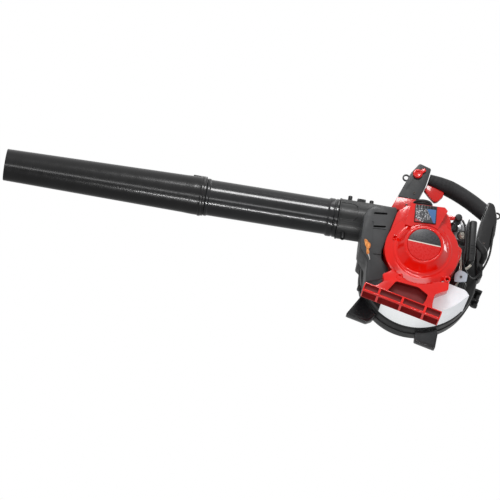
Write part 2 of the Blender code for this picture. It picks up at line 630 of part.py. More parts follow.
# ---------------------------------------------------------------- red covers and starter
def engine_cowl(m):
    """Red cowl open to the rear, with a forward face round the dish and a sunk black strip."""
    outline = mm_points(
        (-60, 94), (-75, 112), (-76, 198), (-64, 218), (-47, 221.5), (12, 238), (30, 226), (38, 209),
        (46, 189), (62, 176), (76, 171), (79, 150), (74, 115), (56, 114), (46, 94))
    room = mm_points(
        (-58.6, 97), (-72, 113), (-73, 197), (-62.3, 215), (-46, 218.5), (11.5, 234.7), (27.5, 224),
        (35, 208), (43.5, 187), (60, 173), (73.5, 168.5), (76, 150), (71.5, 118), (54.5, 117), (44.5, 97))
    cowl = plate("engine_cowl", outline, COWL_FRONT_Y, COWL_BACK_Y, m["red"])
    face = mm_points(
        (-75, 165), (-76, 198), (-64, 217), (-47, 220), (12, 236), (30, 224), (38, 207), (46, 189),
        (60, 177), (69, 160))
    inner_r = 50 * MM
    steps = 12
    for i in range(steps + 1):
        point = around_crank(inner_r, 20 + 135 * i / steps)
        face.append((point.x, point.z))
    weld(cowl, plate("cowl_face", face, FACE_Y, COWL_FRONT_Y + 2 * MM, None))
    place = cylinder_place()
    strip_half = 23 * MM
    low, high = (-strip_half, -0.1, 40 * MM), (strip_half, STRIP_Y - CYLINDER_Y, 110 * MM)
    strip = block("strip_recess", low, high, None, place)
    dish_room = mm_points(
        (0, -50), (39.6, -50), (41.6, -33), (52.6, -12), (55.4, -9), (58.8, -9), (61.2, -6),
        (74.7, -0.5), (77.1, 1.2), (77.1, 5.4), (62, 5.4), (62, 12), (0, 12))
    cut(cowl, plate("cowl_room", room, COWL_FRONT_Y + 3 * MM, COWL_BACK_Y + 0.01, None), strip)
    cut(cowl, turned("dish_room", dish_room, CRANK, ALONG_Y, None, DISH_ROUND))
    cut(cowl, rod("boot_opening", 23 * MM, on_cylinder(88 * MM), on_cylinder(150 * MM), None, ROUND))
    low, high = Vector((20, -15, 47)) * MM, Vector((98, 15, 77)) * MM
    insulator_room = block("insulator_opening", low, high, None, place)
    exit_at = rope_point(82 * MM)
    reach = ROPE_AXIS * 30 * MM
    guide_room = rod("guide_opening", 6.6 * MM, exit_at - reach, exit_at + reach, None)
    flange_room = rod("flange_opening", 9 * MM, rope_point(87.4 * MM), rope_point(130 * MM), None)
    cut(cowl, insulator_room, guide_room, flange_room)
    panel_half = strip_half - GAP
    low = (-panel_half, STRIP_Y - 2.6 * MM - CYLINDER_Y, 55 * MM)
    high = (panel_half, STRIP_Y - GAP - CYLINDER_Y, 94 * MM)
    block("cowl_panel", low, high, m["black"], place)
    return cowl


def rope_point(distance):
    """Point on the rope, counted up from where it leaves the reel."""
    leave = Vector((cos(ROPE_TILT), 0, -sin(ROPE_TILT))) * (REEL_R + ROPE_R + GAP)
    return Vector((0, ROPE_Y, CRANK_Z)) + leave + ROPE_AXIS * distance


def starter(m):
    """Starter housing with its post, badge, reel, spring, pawl, rope, guide and handle."""
    post_r = 5 * MM
    housing = mm_points(
        (0, -33), (34.6, -33), (35.6, -35), (38.8, -35), (41, -32.5), (52, -12), (55, -8.5), (58.5, -8.5),
        (61, -5.5), (74.5, 0), (76.7, 1.5), (76.7, 5), (73.5, 5), (73, 3.2), (60, -2), (53, -5), (49, -10),
        (38, -29), (35, -30.4), (9, -30.4), (9, -3.5), (5, -3.5), (5, 19), (0, 19))
    turned("starter_housing", housing, CRANK, ALONG_Y, m["red"], DISH_ROUND)
    badge = [(0, DISH_FACE_Y - 1.2 * MM), (BADGE_R, DISH_FACE_Y - 1.2 * MM), (BADGE_R, DISH_FACE_Y - GAP),
             (0, DISH_FACE_Y - GAP)]
    turned("starter_badge", badge, CRANK, ALONG_Y, m["badge"], DISH_ROUND)
    bore = post_r + GAP
    flange_r = REEL_R + 5 * MM
    near, far = 5 * MM, 18.6 * MM
    profile = [(bore, near), (flange_r, near), (flange_r, near + 2.5 * MM), (REEL_R, near + 2.5 * MM),
               (REEL_R, far - 2.5 * MM), (flange_r, far - 2.5 * MM), (flange_r, far), (bore, far)]
    reel = turned("starter_reel", profile, CRANK, ALONG_Y, m["black"])
    on_pivot("reel_pivot", Vector((0, ROPE_Y, CRANK_Z)), reel)
    recoil_spring(m)
    pawl_at = around_crank(14 * MM, 0)
    pawl_outline = [(pawl_at.x + x * MM, pawl_at.z + z * MM)
                    for x, z in ((-4, -3), (4, -3), (4, 9), (1, 15), (-3, 9))]
    pawl = plate("starter_pawl", pawl_outline, 19.2 * MM, 22 * MM, m["steel"])
    on_pivot("pawl_pivot", Vector((pawl_at.x, 20 * MM, pawl_at.z)), pawl)
    guide_bore = ROPE_R + GAP
    guide = [(guide_bore, 76 * MM), *mm_points((6, 76), (6, 88), (8, 88), (8, 91)), (guide_bore, 91 * MM)]
    turned("rope_guide", guide, rope_point(0), ROPE_AXIS, m["black"], SMALL_ROUND)
    stem, bar = 91.6 * MM, 103 * MM
    rope = rod("starter_rope", ROPE_R, rope_point(0), rope_point(stem - GAP), m["rope"], 8)
    handle = rod("starter_handle", 7 * MM, rope_point(stem), rope_point(bar), m["black"])
    middle = rope_point(bar)
    reach = ALONG_Y * 17 * MM
    weld(handle, rod("handle_bar", 7.6 * MM, middle - reach, middle + reach, None))
    on_pivot("pull_pivot", rope_point(0), rope, handle)


def recoil_spring(m):
    """Flat spiral spring in front of the reel."""
    inner_r, outer_r = 11 * MM, 25 * MM
    turns, steps = 4, 14
    half_thick = 0.5 * MM
    count = turns * steps
    outward, inward = [], []
    for i in range(count + 1):
        degrees = 360 * i / steps
        radius = inner_r + (outer_r - inner_r) * i / count
        outside = around_crank(radius + half_thick, degrees)
        inside = around_crank(radius - half_thick, degrees)
        outward.append((outside.x, outside.z))
        inward.append((inside.x, inside.z))
    plate("recoil_spring", outward + inward[::-1], -3 * MM, 3 * MM, m["steel"])


def stand(m):
    """Red stand: ribbed bar on the ground and two legs up to the starter housing."""
    half = STAND_HALF_LENGTH
    depth = STAND_HALF_DEPTH
    bar = block("stand", (-half, -depth, 0), (half, depth, STAND_HEIGHT), m["red"])
    legs = mm_points((-76, 15), (64, 15), (59, 30), (57, 50), (67, 60), (79, 70), (75, 86), (58, 80),
                     (-40, 72), (-44, 64), (-57, 51), (-49, 38), (-59, 24))
    rise = plate("stand_legs", legs, -10 * MM, 16 * MM, None)
    window_outline = mm_points((-37, 17), (40, 17), (44, 30), (44, 44), (20, 52), (-26, 47))
    window = plate("stand_window", window_outline, -0.05, 5 * MM, None)
    rim_room = rod("stand_rim_room", RIM_R + GAP, around_crank(0, 0, -0.05), around_crank(0, 0, 0.05), None,
                   DISH_ROUND)
    weld(bar, rise)
    cut(bar, window, rim_room)
    wall = 2.5 * MM
    face_cell = 6 * MM
    sole_cell = 10 * MM
    edges = (-half, -50 * MM, 0, 49 * MM, half)
    for i, (left, right) in enumerate(zip(edges, edges[1:])):
        low = (left + wall, -depth - 0.01, wall)
        high = (right - wall, -depth + face_cell, STAND_HEIGHT - wall)
        cut(bar, block(f"face_cell_{i}", low, high, None))
        low = (left + wall, -depth + face_cell + wall, -0.01)
        high = (right - wall, depth - wall, sole_cell)
        cut(bar, block(f"sole_cell_{i}", low, high, None))


# ---------------------------------------------------------------- fuel and air
def fuel_tank(m):
    """Half-moon tank that follows the fan case, with a filler neck and cap."""
    def tank_outline(inset):
        outline = []
        steps = 12
        top = TANK_TOP_Z - inset
        corner_r = 18 * MM
        first = 250 + inset / MM
        last = 340
        for i in range(steps + 1):
            degrees = first + (last - first) * i / steps
            point = around_crank(scroll_radius(degrees) - 1.5 * MM - inset, degrees)
            outline.append((point.x, point.z))
        outline.append((124 * MM - inset, top - corner_r * 0.5))
        outline.append((124 * MM - corner_r * 0.6 - inset * 0.6, top))
        inner_r = 64 * MM + inset
        start = degrees_at_height(inner_r, top)
        for i in range(7):
            degrees = start + (first - 360 - start) * i / 6
            point = around_crank(inner_r, degrees)
            outline.append((point.x, point.z))
        return outline

    wall = 2.5 * MM
    tank = plate("fuel_tank", tank_outline(0), TANK_NEAR_Y, TANK_FAR_Y, m["tank"])
    soften(tank, 6 * MM, 3)
    neck_at = Vector((94 * MM, 66 * MM, TANK_TOP_Z))
    neck = rod("filler_neck", 13 * MM, neck_at - UP * 4 * MM, neck_at + UP * 8 * MM, None, ROUND)
    weld(tank, neck)
    cut(tank, plate("tank_room", tank_outline(wall), TANK_NEAR_Y + wall, TANK_FAR_Y - wall, None))
    cut(tank, rod("filler_bore", 10.5 * MM, neck_at - UP * 8 * MM, neck_at + UP * 20 * MM, None, ROUND))
    cap_profile = mm_points((0, 25), (14, 25), (18, 22), (18, 4), (13.4, 4), (13.4, 8.4), (0, 8.4))
    cap = turned("fuel_cap", cap_profile, neck_at, UP, m["black"], 24)
    on_pivot("cap_pivot", neck_at, cap)
    path = smooth_path([Vector((84, 92, 102)) * MM, Vector((86, 90, 124)) * MM, Vector((85, 78, 168)) * MM,
                        on_cylinder(48.4 * MM, 80 * MM, 2 * MM)])
    swept("fuel_line", path, [2.5 * MM] * len(path), m["clear"], 8)


def degrees_at_height(radius, height):
    """Angle about the crankshaft, below the axis on its rear side, at a height."""
    drop = (height - CRANK_Z) / radius
    return atan2(drop, sqrt(1 - drop * drop)) * 180 / pi


def fuel_and_air(m):
    """Insulator, carburettor with its levers and primer, and the air cleaner."""
    place = cylinder_place()
    low, high = Vector((32, -13, 49)) * MM, Vector((64, 13, 75)) * MM
    insulator = block("insulator", low, high, m["black"], place)
    bore_from, bore_to = on_cylinder(62 * MM, 20 * MM), on_cylinder(62 * MM, 80 * MM)
    cut(insulator, rod("intake_bore", 8 * MM, bore_from, bore_to, None))
    carburettor = block("carburettor", (64.5 * MM, -17 * MM, 52 * MM), (95 * MM, 17 * MM, 88 * MM),
                        m["aluminium"], place)
    ear = block("choke_ear", (70 * MM, -12 * MM, 86 * MM), (84 * MM, -8 * MM, 104 * MM), None, place)
    throat_from, throat_to = on_cylinder(66 * MM, 55 * MM), on_cylinder(66 * MM, 120 * MM)
    throat = rod("carburettor_throat", 8 * MM, throat_from, throat_to, None)
    weld(soften(carburettor, 2 * MM), ear)
    cut(carburettor, throat)
    lever_at = on_cylinder(78 * MM, 78 * MM, -17.4 * MM)
    hub = rod("throttle_lever", 6 * MM, lever_at - ALONG_Y * 4 * MM, lever_at, m["steel"])
    arm_low = (lever_at - CRANK).dot(CYLINDER_REAR)
    arm_base = (lever_at - CRANK).dot(CYLINDER_UP)
    arm = block("throttle_arm", (arm_low - 3 * MM, -21.2 * MM, arm_base), (arm_low + 3 * MM, -18.4 * MM,
                                                                          arm_base + 16 * MM), None, place)
    weld(hub, arm)
    on_pivot("throttle_lever_pivot", lever_at, hub)
    choke_at = on_cylinder(99 * MM, 77 * MM, -12.4 * MM)
    choke = rod("choke_lever", 5 * MM, choke_at - ALONG_Y * 3 * MM, choke_at, m["red"])
    reach_outline = [(choke_at.x + x * MM, choke_at.z + z * MM)
                     for x, z in ((-24, -8), (-15, -9.5), (7, 1.8), (2, 3.2), (-24, -1))]
    reach = plate("choke_reach", reach_outline, choke_at.y - 3 * MM, choke_at.y, None)
    weld(choke, reach)
    on_pivot("choke_pivot", choke_at, choke)
    primer_at = on_cylinder(61 * MM, 85 * MM, -17.4 * MM)
    dome = [(0, 7 * MM)] + [(8 * MM * cos(radians(a)), 7 * MM * sin(radians(a))) for a in (70, 45, 20)]
    dome += [(8 * MM, 0), (0, 0)]
    pocket_from, pocket_to = primer_at - ALONG_Y * 10 * MM, primer_at + ALONG_Y * 6.5 * MM
    cut(carburettor, rod("primer_pocket", 8.8 * MM, pocket_from, pocket_to, None))
    primer = turned("primer_bulb", dome, primer_at, -ALONG_Y, m["clear"], SMALL_ROUND)
    on_pivot("primer_pivot", primer_at, primer)
    low, high, side = 4 * MM, 95 * MM, 28 * MM
    base_from, cover_from, cover_to = 95.4 * MM, 98.4 * MM, 114.4 * MM
    base = block("filter_base", (base_from, -side, low), (cover_from - GAP, side, high), m["black"], place)
    cut(base, rod("base_throat", 8 * MM, throat_from, throat_to, None))
    inset = 4 * MM
    low_corner = (cover_from, -side + inset, low + inset)
    high_corner = (109 * MM, side - inset, high - inset)
    soften(block("filter_element", low_corner, high_corner, m["foam"], place), 3 * MM)
    cover = block("filter_cover", (cover_from, -side, low), (cover_to, side, high), m["black"], place)
    soften(cover, 5 * MM, 3)
    wall = 2.5 * MM
    low_corner = (cover_from - 10 * MM, -side + wall, low + wall)
    high_corner = (cover_to - 3 * MM, side - wall, high - wall)
    cut(cover, block("cover_hollow", low_corner, high_corner, None, place))
    knob_at = on_cylinder(60 * MM, cover_to + GAP)
    knob_profile = [(0, 0), (9 * MM, 0), (9 * MM, 5 * MM), (7 * MM, 6 * MM), (0, 6 * MM)]
    knob = turned("filter_knob", knob_profile, knob_at, CYLINDER_REAR, m["black"], 12)
    on_pivot("filter_knob_pivot", knob_at, knob)


# ---------------------------------------------------------------- handle and guard
def handle(m, clearance):
    """Front post on its red base, padded grip, rear bracket, trigger and stop switch."""
    near, far = HANDLE_Y - HANDLE_HALF_WIDTH, HANDLE_Y + HANDLE_HALF_WIDTH
    base_outline = mm_points((-94, 250), (-48, 255), (-47.6, 288.6), (-90, 278.4))
    base = plate("handle_base", base_outline, near, far, m["red"])
    cut(base, *clearance)
    post_outline = mm_points((-90, 279), (-47.6, 289.2), (-43, 337), (-45, 366), (-72, 368), (-82, 341))
    post = soften(plate("handle_post", post_outline, near, far, m["black"]), 4 * MM)
    bracket_outline = mm_points(
        (92.4, 343), (104, 343), (110, 337), (123, 313), (130, 279), (130, 254), (127, 228), (129, 205),
        (137, 178), (128, 168), (117, 192), (110, 214), (102, 236), (96, 258), (94, 277), (92.4, 300))
    bracket = soften(plate("rear_bracket", bracket_outline, near, far, m["black"]), 4 * MM)
    cut(bracket, clearance[0])
    for name, piece, x, z in (("front_eyelet", post, -88, 334), ("rear_eyelet", bracket, 120, 327)):
        ring = [(4.5 * MM, -2 * MM), (8 * MM, -2 * MM), (8 * MM, 2 * MM), (4.5 * MM, 2 * MM)]
        weld(piece, turned(name, ring, Vector((x * MM, HANDLE_Y, z * MM)), ALONG_Y, None, SMALL_ROUND))
    line = smooth_path([Vector((x * MM, HANDLE_Y, z * MM)) for x, z in
                        ((-42, 346.5), (-18, 347.5), (6, 346), (33, 341.5), (62, 334), (98, 321.5))], 2)
    radii = [(13.8 + 3.8 * min(1, 2.5 * i / (len(line) - 1))) * MM for i in range(len(line))]
    grip = swept("grip", line, radii, m["rubber"], 20, 1.08)
    slot_half = 7 * MM
    low, high = (-60 * MM, HANDLE_Y - slot_half, 300 * MM), (2 * MM, HANDLE_Y + slot_half, 352 * MM)
    cut(grip, block("trigger_slot", low, high, None))
    cut(grip, block("grip_end", (92 * MM, 0.1, 0.25), (0.15, 0.19, 0.4), None))
    trigger_at = Vector((-38 * MM, HANDLE_Y, 331 * MM))
    trigger_half = 5.5 * MM
    trigger_outline = mm_points((-40.5, 335), (-36, 338), (-2, 337), (-1, 322), (-8, 307), (-14, 303.2),
                                (-27.6, 310), (-43.4, 320.5), (-42, 326))
    trigger = plate("throttle_trigger", trigger_outline, HANDLE_Y - trigger_half, HANDLE_Y + trigger_half,
                    m["red"])
    on_pivot("trigger_pivot", trigger_at, trigger)
    switch_at = Vector((-68 * MM, near - GAP, 343 * MM))
    switch = rod("stop_switch", 10 * MM, switch_at - ALONG_Y * 6 * MM, switch_at, m["red"], 24)
    arm = plate("stop_arm", mm_points((-69, 348), (-61, 343), (-53, 356), (-59, 361)), switch_at.y - 4 * MM,
                switch_at.y - 0.5 * MM, None)
    weld(switch, arm)
    on_pivot("stop_pivot", switch_at, switch)
    points = [Vector(p) * MM for p in (
        (122, 122, 296), (127, 119, 268), (134, 117, 225), (131, 114, 190), (120, 102, 158),
        (100, 62, 150), (86, 31, 158), (79, 27, 190), (66, 32, 228), (56, 38, 244))]
    path = smooth_path(points)
    swept("throttle_cable", path, [2.2 * MM] * len(path), m["rubber"], 8)


def intake_guard(m):
    """Grille over the intake on a vertical pin at the rear of the fan case."""
    near = 203 * MM
    ring = [(68 * MM, near), (75 * MM, near), (75 * MM, near + 6 * MM), (70 * MM, near + 14 * MM),
            (66 * MM, near + 14 * MM)]
    guard = turned("intake_guard", ring, CRANK, ALONG_Y, m["black"])
    hub_from, hub_to = around_crank(0, 0, near + 8 * MM), around_crank(0, 0, near + 16 * MM)
    hub = rod("guard_hub", 16 * MM, hub_from, hub_to, None)
    weld(guard, hub)
    spokes = 12
    for i in range(spokes):
        place = Matrix.Translation(CRANK) @ Matrix.Rotation(2 * pi * (i + 0.3) / spokes, 4, "Y")
        weld(guard, block(f"guard_spoke_{i}", (13 * MM, near + 9.5 * MM, -1.5 * MM),
                          (68.6 * MM, near + 13.3 * MM, 1.5 * MM), None, place))
    barrel_half = LUG_LEVEL - LUG_HALF - GAP
    barrel = rod("guard_barrel", 6.5 * MM, GUARD_PIN - UP * barrel_half, GUARD_PIN + UP * barrel_half, None)
    arm = block("guard_arm", (64 * MM, near + 0.3 * MM, GUARD_PIN.z - 6 * MM),
                (GUARD_PIN.x - 4 * MM, near + 4.8 * MM, GUARD_PIN.z + 6 * MM), None)
    weld(guard, barrel, arm)
    cut(guard, rod("barrel_hole", 3.4 * MM, GUARD_PIN - UP * 0.03, GUARD_PIN + UP * 0.03, None))
    on_pivot("guard_pivot", GUARD_PIN, guard)
    head_top = -LUG_LEVEL - LUG_HALF - GAP
    pin = [(0, head_top - 8 * MM), (8 * MM, head_top - 8 * MM), (8 * MM, head_top), (3 * MM, head_top),
           (3 * MM, 18 * MM), (0, 18 * MM)]
    turned("guard_pin", pin, GUARD_PIN, UP, m["steel"], SMALL_ROUND)


def build():
    """Clear the scene and make every piece."""
    for old in list(bpy.data.objects):
        bpy.data.objects.remove(old, do_unlink=True)
    m = make_materials()
    clearance = fan_case(m)
    feet(m, clearance)
    tube_and_nozzle(m)
    turning = impeller(m) + crank_train(m)
    on_pivot("crank_pivot", CRANK, *turning)
    bearings(m)
    crankcase(m)
    cylinder(m)
    piston_group(m)
    ignition(m)
    muffler_group(m, engine_cowl(m))
    starter(m)
    stand(m)
    fuel_tank(m)
    fuel_and_air(m)
    handle(m, clearance)
    intake_guard(m)


build()
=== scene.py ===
import json
from math import atan2, cos, pi, radians, sin, sqrt

import bmesh
import bpy
from mathutils import Matrix, Vector


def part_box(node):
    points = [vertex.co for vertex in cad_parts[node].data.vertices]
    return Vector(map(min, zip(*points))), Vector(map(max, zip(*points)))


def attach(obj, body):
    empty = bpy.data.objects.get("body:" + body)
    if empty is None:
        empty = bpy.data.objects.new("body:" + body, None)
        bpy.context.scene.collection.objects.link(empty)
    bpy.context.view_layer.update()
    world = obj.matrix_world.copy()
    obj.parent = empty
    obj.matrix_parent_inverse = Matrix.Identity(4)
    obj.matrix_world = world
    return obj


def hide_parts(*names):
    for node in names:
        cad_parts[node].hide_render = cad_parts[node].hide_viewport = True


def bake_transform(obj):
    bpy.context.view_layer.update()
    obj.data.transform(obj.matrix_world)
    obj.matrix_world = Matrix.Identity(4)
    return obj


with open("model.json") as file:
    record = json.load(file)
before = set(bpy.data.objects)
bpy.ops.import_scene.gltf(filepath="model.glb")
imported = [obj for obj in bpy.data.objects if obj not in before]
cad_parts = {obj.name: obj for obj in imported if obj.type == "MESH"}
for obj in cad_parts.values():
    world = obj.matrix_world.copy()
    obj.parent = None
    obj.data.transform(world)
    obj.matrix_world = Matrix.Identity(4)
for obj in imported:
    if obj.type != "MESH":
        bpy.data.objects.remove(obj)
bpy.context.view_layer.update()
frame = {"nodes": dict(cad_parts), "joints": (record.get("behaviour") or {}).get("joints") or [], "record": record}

MM = 0.001
JOINTS = {joint["name"]: joint for joint in frame["joints"]}
BODY_OF = {node: body for body, nodes in frame["record"]["behaviour"]["bodies"].items() for node in nodes}

# ---------------------------------------------------------------- places read from the frame
UP = Vector((0, 0, 1))
ALONG_Y = Vector((0, 1, 0))
CRANK_Z = JOINTS["crank_spin"]["pos_m"][2]
CRANK = Vector((0, 0, CRANK_Z))
CYL_UP = Vector(JOINTS["piston_stroke"]["axis"]).normalized()
CYL_REAR = Vector((CYL_UP.z, 0, -CYL_UP.x))
CYL_Y = (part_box("cylinder")[0].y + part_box("cylinder")[1].y) / 2
CYL_FOOT = Vector((0, CYL_Y, CRANK_Z))
TUBE_AXIS = Vector(JOINTS["tube_twist"]["axis"]).normalized()
TUBE_UP = Vector((TUBE_AXIS.z, 0, -TUBE_AXIS.x))
TUBE_JOIN = Vector(JOINTS["tube_twist"]["pos_m"])
NOZZLE_JOIN = Vector(JOINTS["nozzle_twist"]["pos_m"])
ROPE_AXIS = Vector(JOINTS["starter_pull"]["axis"]).normalized()
SPLIT_Y = TUBE_JOIN.y
CASE_NEAR = SPLIT_Y - 35 * MM
CASE_FAR = SPLIT_Y + 35 * MM
RIM_R = (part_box("starter_housing")[1].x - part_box("starter_housing")[0].x) / 2
HANDLE_LOW, HANDLE_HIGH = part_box("handle_post")
HANDLE_Y = (HANDLE_LOW.y + HANDLE_HIGH.y) / 2
GUARD_PIN = Vector(JOINTS["guard_swing"]["pos_m"])
TUBE_R = 38 * MM
SLEEVE_R = 42.5 * MM
FINE = 96


# ---------------------------------------------------------------- shader helpers
class Shade:
    """A node material being built: its Principled node and object-space coordinates."""

    def __init__(self, name):
        self.material = bpy.data.materials.new(name)
        self.material.use_nodes = True
        self.nodes = self.material.node_tree.nodes
        self.links = self.material.node_tree.links
        self.bsdf = self.nodes["Principled BSDF"]
        self.coords = self.nodes.new("ShaderNodeTexCoord").outputs["Object"]

    def feed(self, socket, value):
        """Link a socket from another node's output, or set its value."""
        if isinstance(value, bpy.types.NodeSocket):
            self.links.new(value, socket)
        else:
            socket.default_value = value

    def node(self, kind, **values):
        """New node with its inputs fed by name; an underscore stands for a space."""
        made = self.nodes.new(f"ShaderNode{kind}")
        for name, value in values.items():
            self.feed(made.inputs[name.replace("_", " ")], value)
        return made

    def surface(self, **values):
        """Feed the Principled node's inputs by name."""
        for name, value in values.items():
            self.feed(self.bsdf.inputs[name.replace("_", " ")], value)

    def noise(self, scale, detail=3.0, stretch=(1, 1, 1)):
        """Noise value in object space, optionally stretched along an axis."""
        fit = self.node("Mapping", Vector=self.coords, Scale=stretch)
        return self.node("TexNoise", Vector=fit.outputs["Vector"], Scale=scale,
                Detail=detail).outputs["Fac"]

    def wave(self, direction, scale, distortion=0.0):
        """Striped pattern in object space."""
        made = self.node("TexWave", Vector=self.coords, Scale=scale, Distortion=distortion)
        made.bands_direction = direction
        return made.outputs["Fac"]

    def ramp(self, value, *stops):
        """Colour ramp through (position, colour) stops."""
        made = self.node("ValToRGB", Fac=value)
        band = made.color_ramp
        while len(band.elements) < len(stops):
            band.elements.new(0.5)
        for element, (place, colour) in zip(band.elements, stops):
            element.position = place
            element.color = (*colour, 1.0)
        return made.outputs["Color"]

    def scaled(self, value, low, high, to_low=0.0, to_high=1.0):
        """Map a value from one range to another."""
        made = self.node("MapRange", Value=value, From_Min=low, From_Max=high, To_Min=to_low,
                To_Max=to_high)
        return made.outputs["Result"]

    def uneven(self, scale, detail, low, high):
        """Noise spread over a range of numbers."""
        return self.scaled(self.noise(scale, detail), 0.3, 0.7, low, high)

    def bump(self, height, strength, depth):
        """Drive the surface normal from a height, stacked on any earlier bump."""
        made = self.node("Bump", Height=height, Strength=strength, Distance=depth)
        earlier = self.bsdf.inputs["Normal"].links
        if earlier:
            self.links.new(earlier[0].from_socket, made.inputs["Normal"])
        self.surface(Normal=made.outputs["Normal"])

    def tint(self, base, amount, colour):
        """Blend a plain colour over a base by an amount."""
        mix = self.nodes.new("ShaderNodeMix")
        mix.data_type = "RGBA"
        self.feed(mix.inputs["Factor"], amount)
        self.feed(mix.inputs["A"], base)
        mix.inputs["B"].default_value = (*colour, 1.0)
        return mix.outputs["Result"]

    def height_along(self, direction, origin):
        """Distance of a point along a direction from an origin."""
        shift = self.nodes.new("ShaderNodeVectorMath")
        shift.operation = "SUBTRACT"
        shift.inputs[1].default_value = origin
        self.feed(shift.inputs[0], self.coords)
        dot = self.nodes.new("ShaderNodeVectorMath")
        dot.operation = "DOT_PRODUCT"
        dot.inputs[1].default_value = direction
        self.feed(dot.inputs[0], shift.outputs["Vector"])
        return dot.outputs["Value"]


# ---------------------------------------------------------------- finishes
def plastic(name, colour, rough, grain=0.15, grain_scale=1500, coat=0.0, vary=0.25, edge=0.2):
    """Moulded plastic: faint mottling, fine grain, uneven gloss and paler convex edges."""
    made = Shade(name)
    dark = tuple(c * (1 - vary) for c in colour)
    light = tuple(min(1.0, c * (1 + vary)) for c in colour)
    base = made.ramp(made.noise(28, 4), (0.3, dark), (0.7, light))
    pale = tuple(c * 0.7 + 0.12 for c in colour)
    convex = made.node("NewGeometry").outputs["Pointiness"]
    made.surface(Base_Color=made.tint(base, made.scaled(convex, 0.54, 0.68, 0.0, edge), pale),
            Roughness=made.uneven(90, 5, rough * 0.85, rough * 1.2), Coat_Weight=coat,
            Coat_Roughness=0.06)
    made.bump(made.noise(grain_scale, 2), grain, 0.0002)
    made.bump(made.noise(22, 1), 0.04, 0.002)
    return made.material


def metal(name, colour, rough, grain_scale, grain, stretch=(1, 1, 1)):
    """Metal with uneven tone and either cast grain or brushed lines."""
    made = Shade(name)
    dark = tuple(c * 0.6 for c in colour)
    made.surface(Base_Color=made.ramp(made.noise(60, 5), (0.25, dark), (0.6, colour)),
            Roughness=made.uneven(150, 4, rough * 0.7, rough * 1.3), Metallic=1.0)
    made.bump(made.noise(grain_scale, 4, stretch), grain, 0.0003)
    return made.material


def tank_plastic():
    """Milky translucent moulding with painted light: a painted glow, and colour that runs brighter towards the
    bottom.
    """
    made = Shade("tank_plastic")
    split = made.node("SeparateXYZ", Vector=made.coords)
    # Painted light: the colour is brighter towards the bottom, and the same colour is fed in as emission, a
    # painted glow.
    tone = made.ramp(made.scaled(split.outputs["Z"], 0.02, 0.11), (0.0, (0.80, 0.82, 0.83)),
            (0.45, (0.74, 0.76, 0.79)), (1.0, (0.68, 0.69, 0.72)))
    made.surface(Base_Color=tone, Emission_Color=tone, Emission_Strength=0.34, Subsurface_Weight=0.35,
            Subsurface_Radius=(0.012, 0.012, 0.013), Roughness=made.uneven(60, 4, 0.28, 0.42))
    made.bump(made.noise(900, 2), 0.08, 0.0002)
    made.bump(made.noise(14, 2), 0.12, 0.004)
    return made.material


def fibre(name, dark, light, scale):
    """Fibrous or foamy material: mottled tone with a deep soft bump."""
    made = Shade(name)
    cloud = made.noise(scale, 6)
    made.surface(Base_Color=made.ramp(cloud, (0.35, dark), (0.65, light)), Roughness=0.95,
            Sheen_Weight=0.3)
    made.bump(cloud, 0.7, 0.0012)
    return made.material


def rope_braid():
    """Pale braided cord with a diagonal weave."""
    made = Shade("rope_braid")
    weave = made.wave("DIAGONAL", 260, 1.5)
    made.surface(Base_Color=made.ramp(weave, (0.1, (0.3, 0.3, 0.29)), (0.7, (0.8, 0.8, 0.76))),
            Roughness=0.9)
    made.bump(weave, 0.8, 0.0006)
    return made.material


def clear_plastic():
    """Soft clear plastic of the primer bulb and the fuel lines."""
    made = Shade("clear_plastic")
    tone = made.ramp(made.noise(80, 3), (0.3, (0.72, 0.70, 0.60)), (0.7, (0.88, 0.87, 0.80)))
    made.surface(Base_Color=tone, Transmission_Weight=0.65, Roughness=0.18)
    made.bump(made.noise(300, 2), 0.06, 0.0003)
    return made.material


def badge_print():
    """Printed badge: dark upper half, thin pale divider and red lower half, without lettering."""
    made = Shade("badge_print")
    tilt = radians(9.5)
    height = made.height_along((-sin(tilt), 0, cos(tilt)), CRANK + UP * 2 * MM)
    red, pale, dark = (0.66, 0.006, 0.004), (0.80, 0.74, 0.66), (0.022, 0.023, 0.026)
    tone = made.ramp(made.scaled(height, -34 * MM, 34 * MM), (0.0, red), (0.495, red), (0.50, pale),
            (0.525, pale), (0.53, dark), (1.0, (0.045, 0.047, 0.054)))
    made.surface(Base_Color=tone, Roughness=made.uneven(200, 4, 0.22, 0.34))
    return made.material


def sticker_print():
    """Generic sticker: mottled pale blocks on black, a blue corner and a red one, no lettering."""
    made = Shade("sticker_print")
    cells = made.node("TexVoronoi", Vector=made.coords, Scale=300)
    tone = made.ramp(cells.outputs["Distance"], (0.18, (0.75, 0.76, 0.78)), (0.34, (0.30, 0.31, 0.33)),
            (0.6, (0.03, 0.032, 0.036)))
    middle = on_cylinder(71)
    for direction, start, end, colour in ((CYL_REAR * 0.6 - CYL_UP, 9, 11, (0.03, 0.032, 0.036)),
            (CYL_REAR + CYL_UP * 0.5, 8, 9.5, (0.05, 0.17, 0.42)),
            (-CYL_REAR * 0.5 - CYL_UP, 15.5, 17, (0.50, 0.05, 0.06))):
        height = made.height_along(direction.normalized(), middle)
        tone = made.tint(tone, made.scaled(height, start * MM, end * MM), colour)
    made.surface(Base_Color=tone, Roughness=0.3)
    made.bump(made.noise(500, 2), 0.05, 0.0002)
    return made.material


def ribbed_rubber():
    """Grip rubber: fine ribs along the hand and a matt grain."""
    made = Shade("ribbed_rubber")
    tone = made.ramp(made.noise(45, 4), (0.3, (0.010, 0.010, 0.011)), (0.7, (0.022, 0.022, 0.024)))
    made.surface(Base_Color=tone, Roughness=0.62)
    made.bump(made.wave("X", 150), 0.35, 0.0007)
    made.bump(made.noise(1800, 2), 0.2, 0.0002)
    return made.material


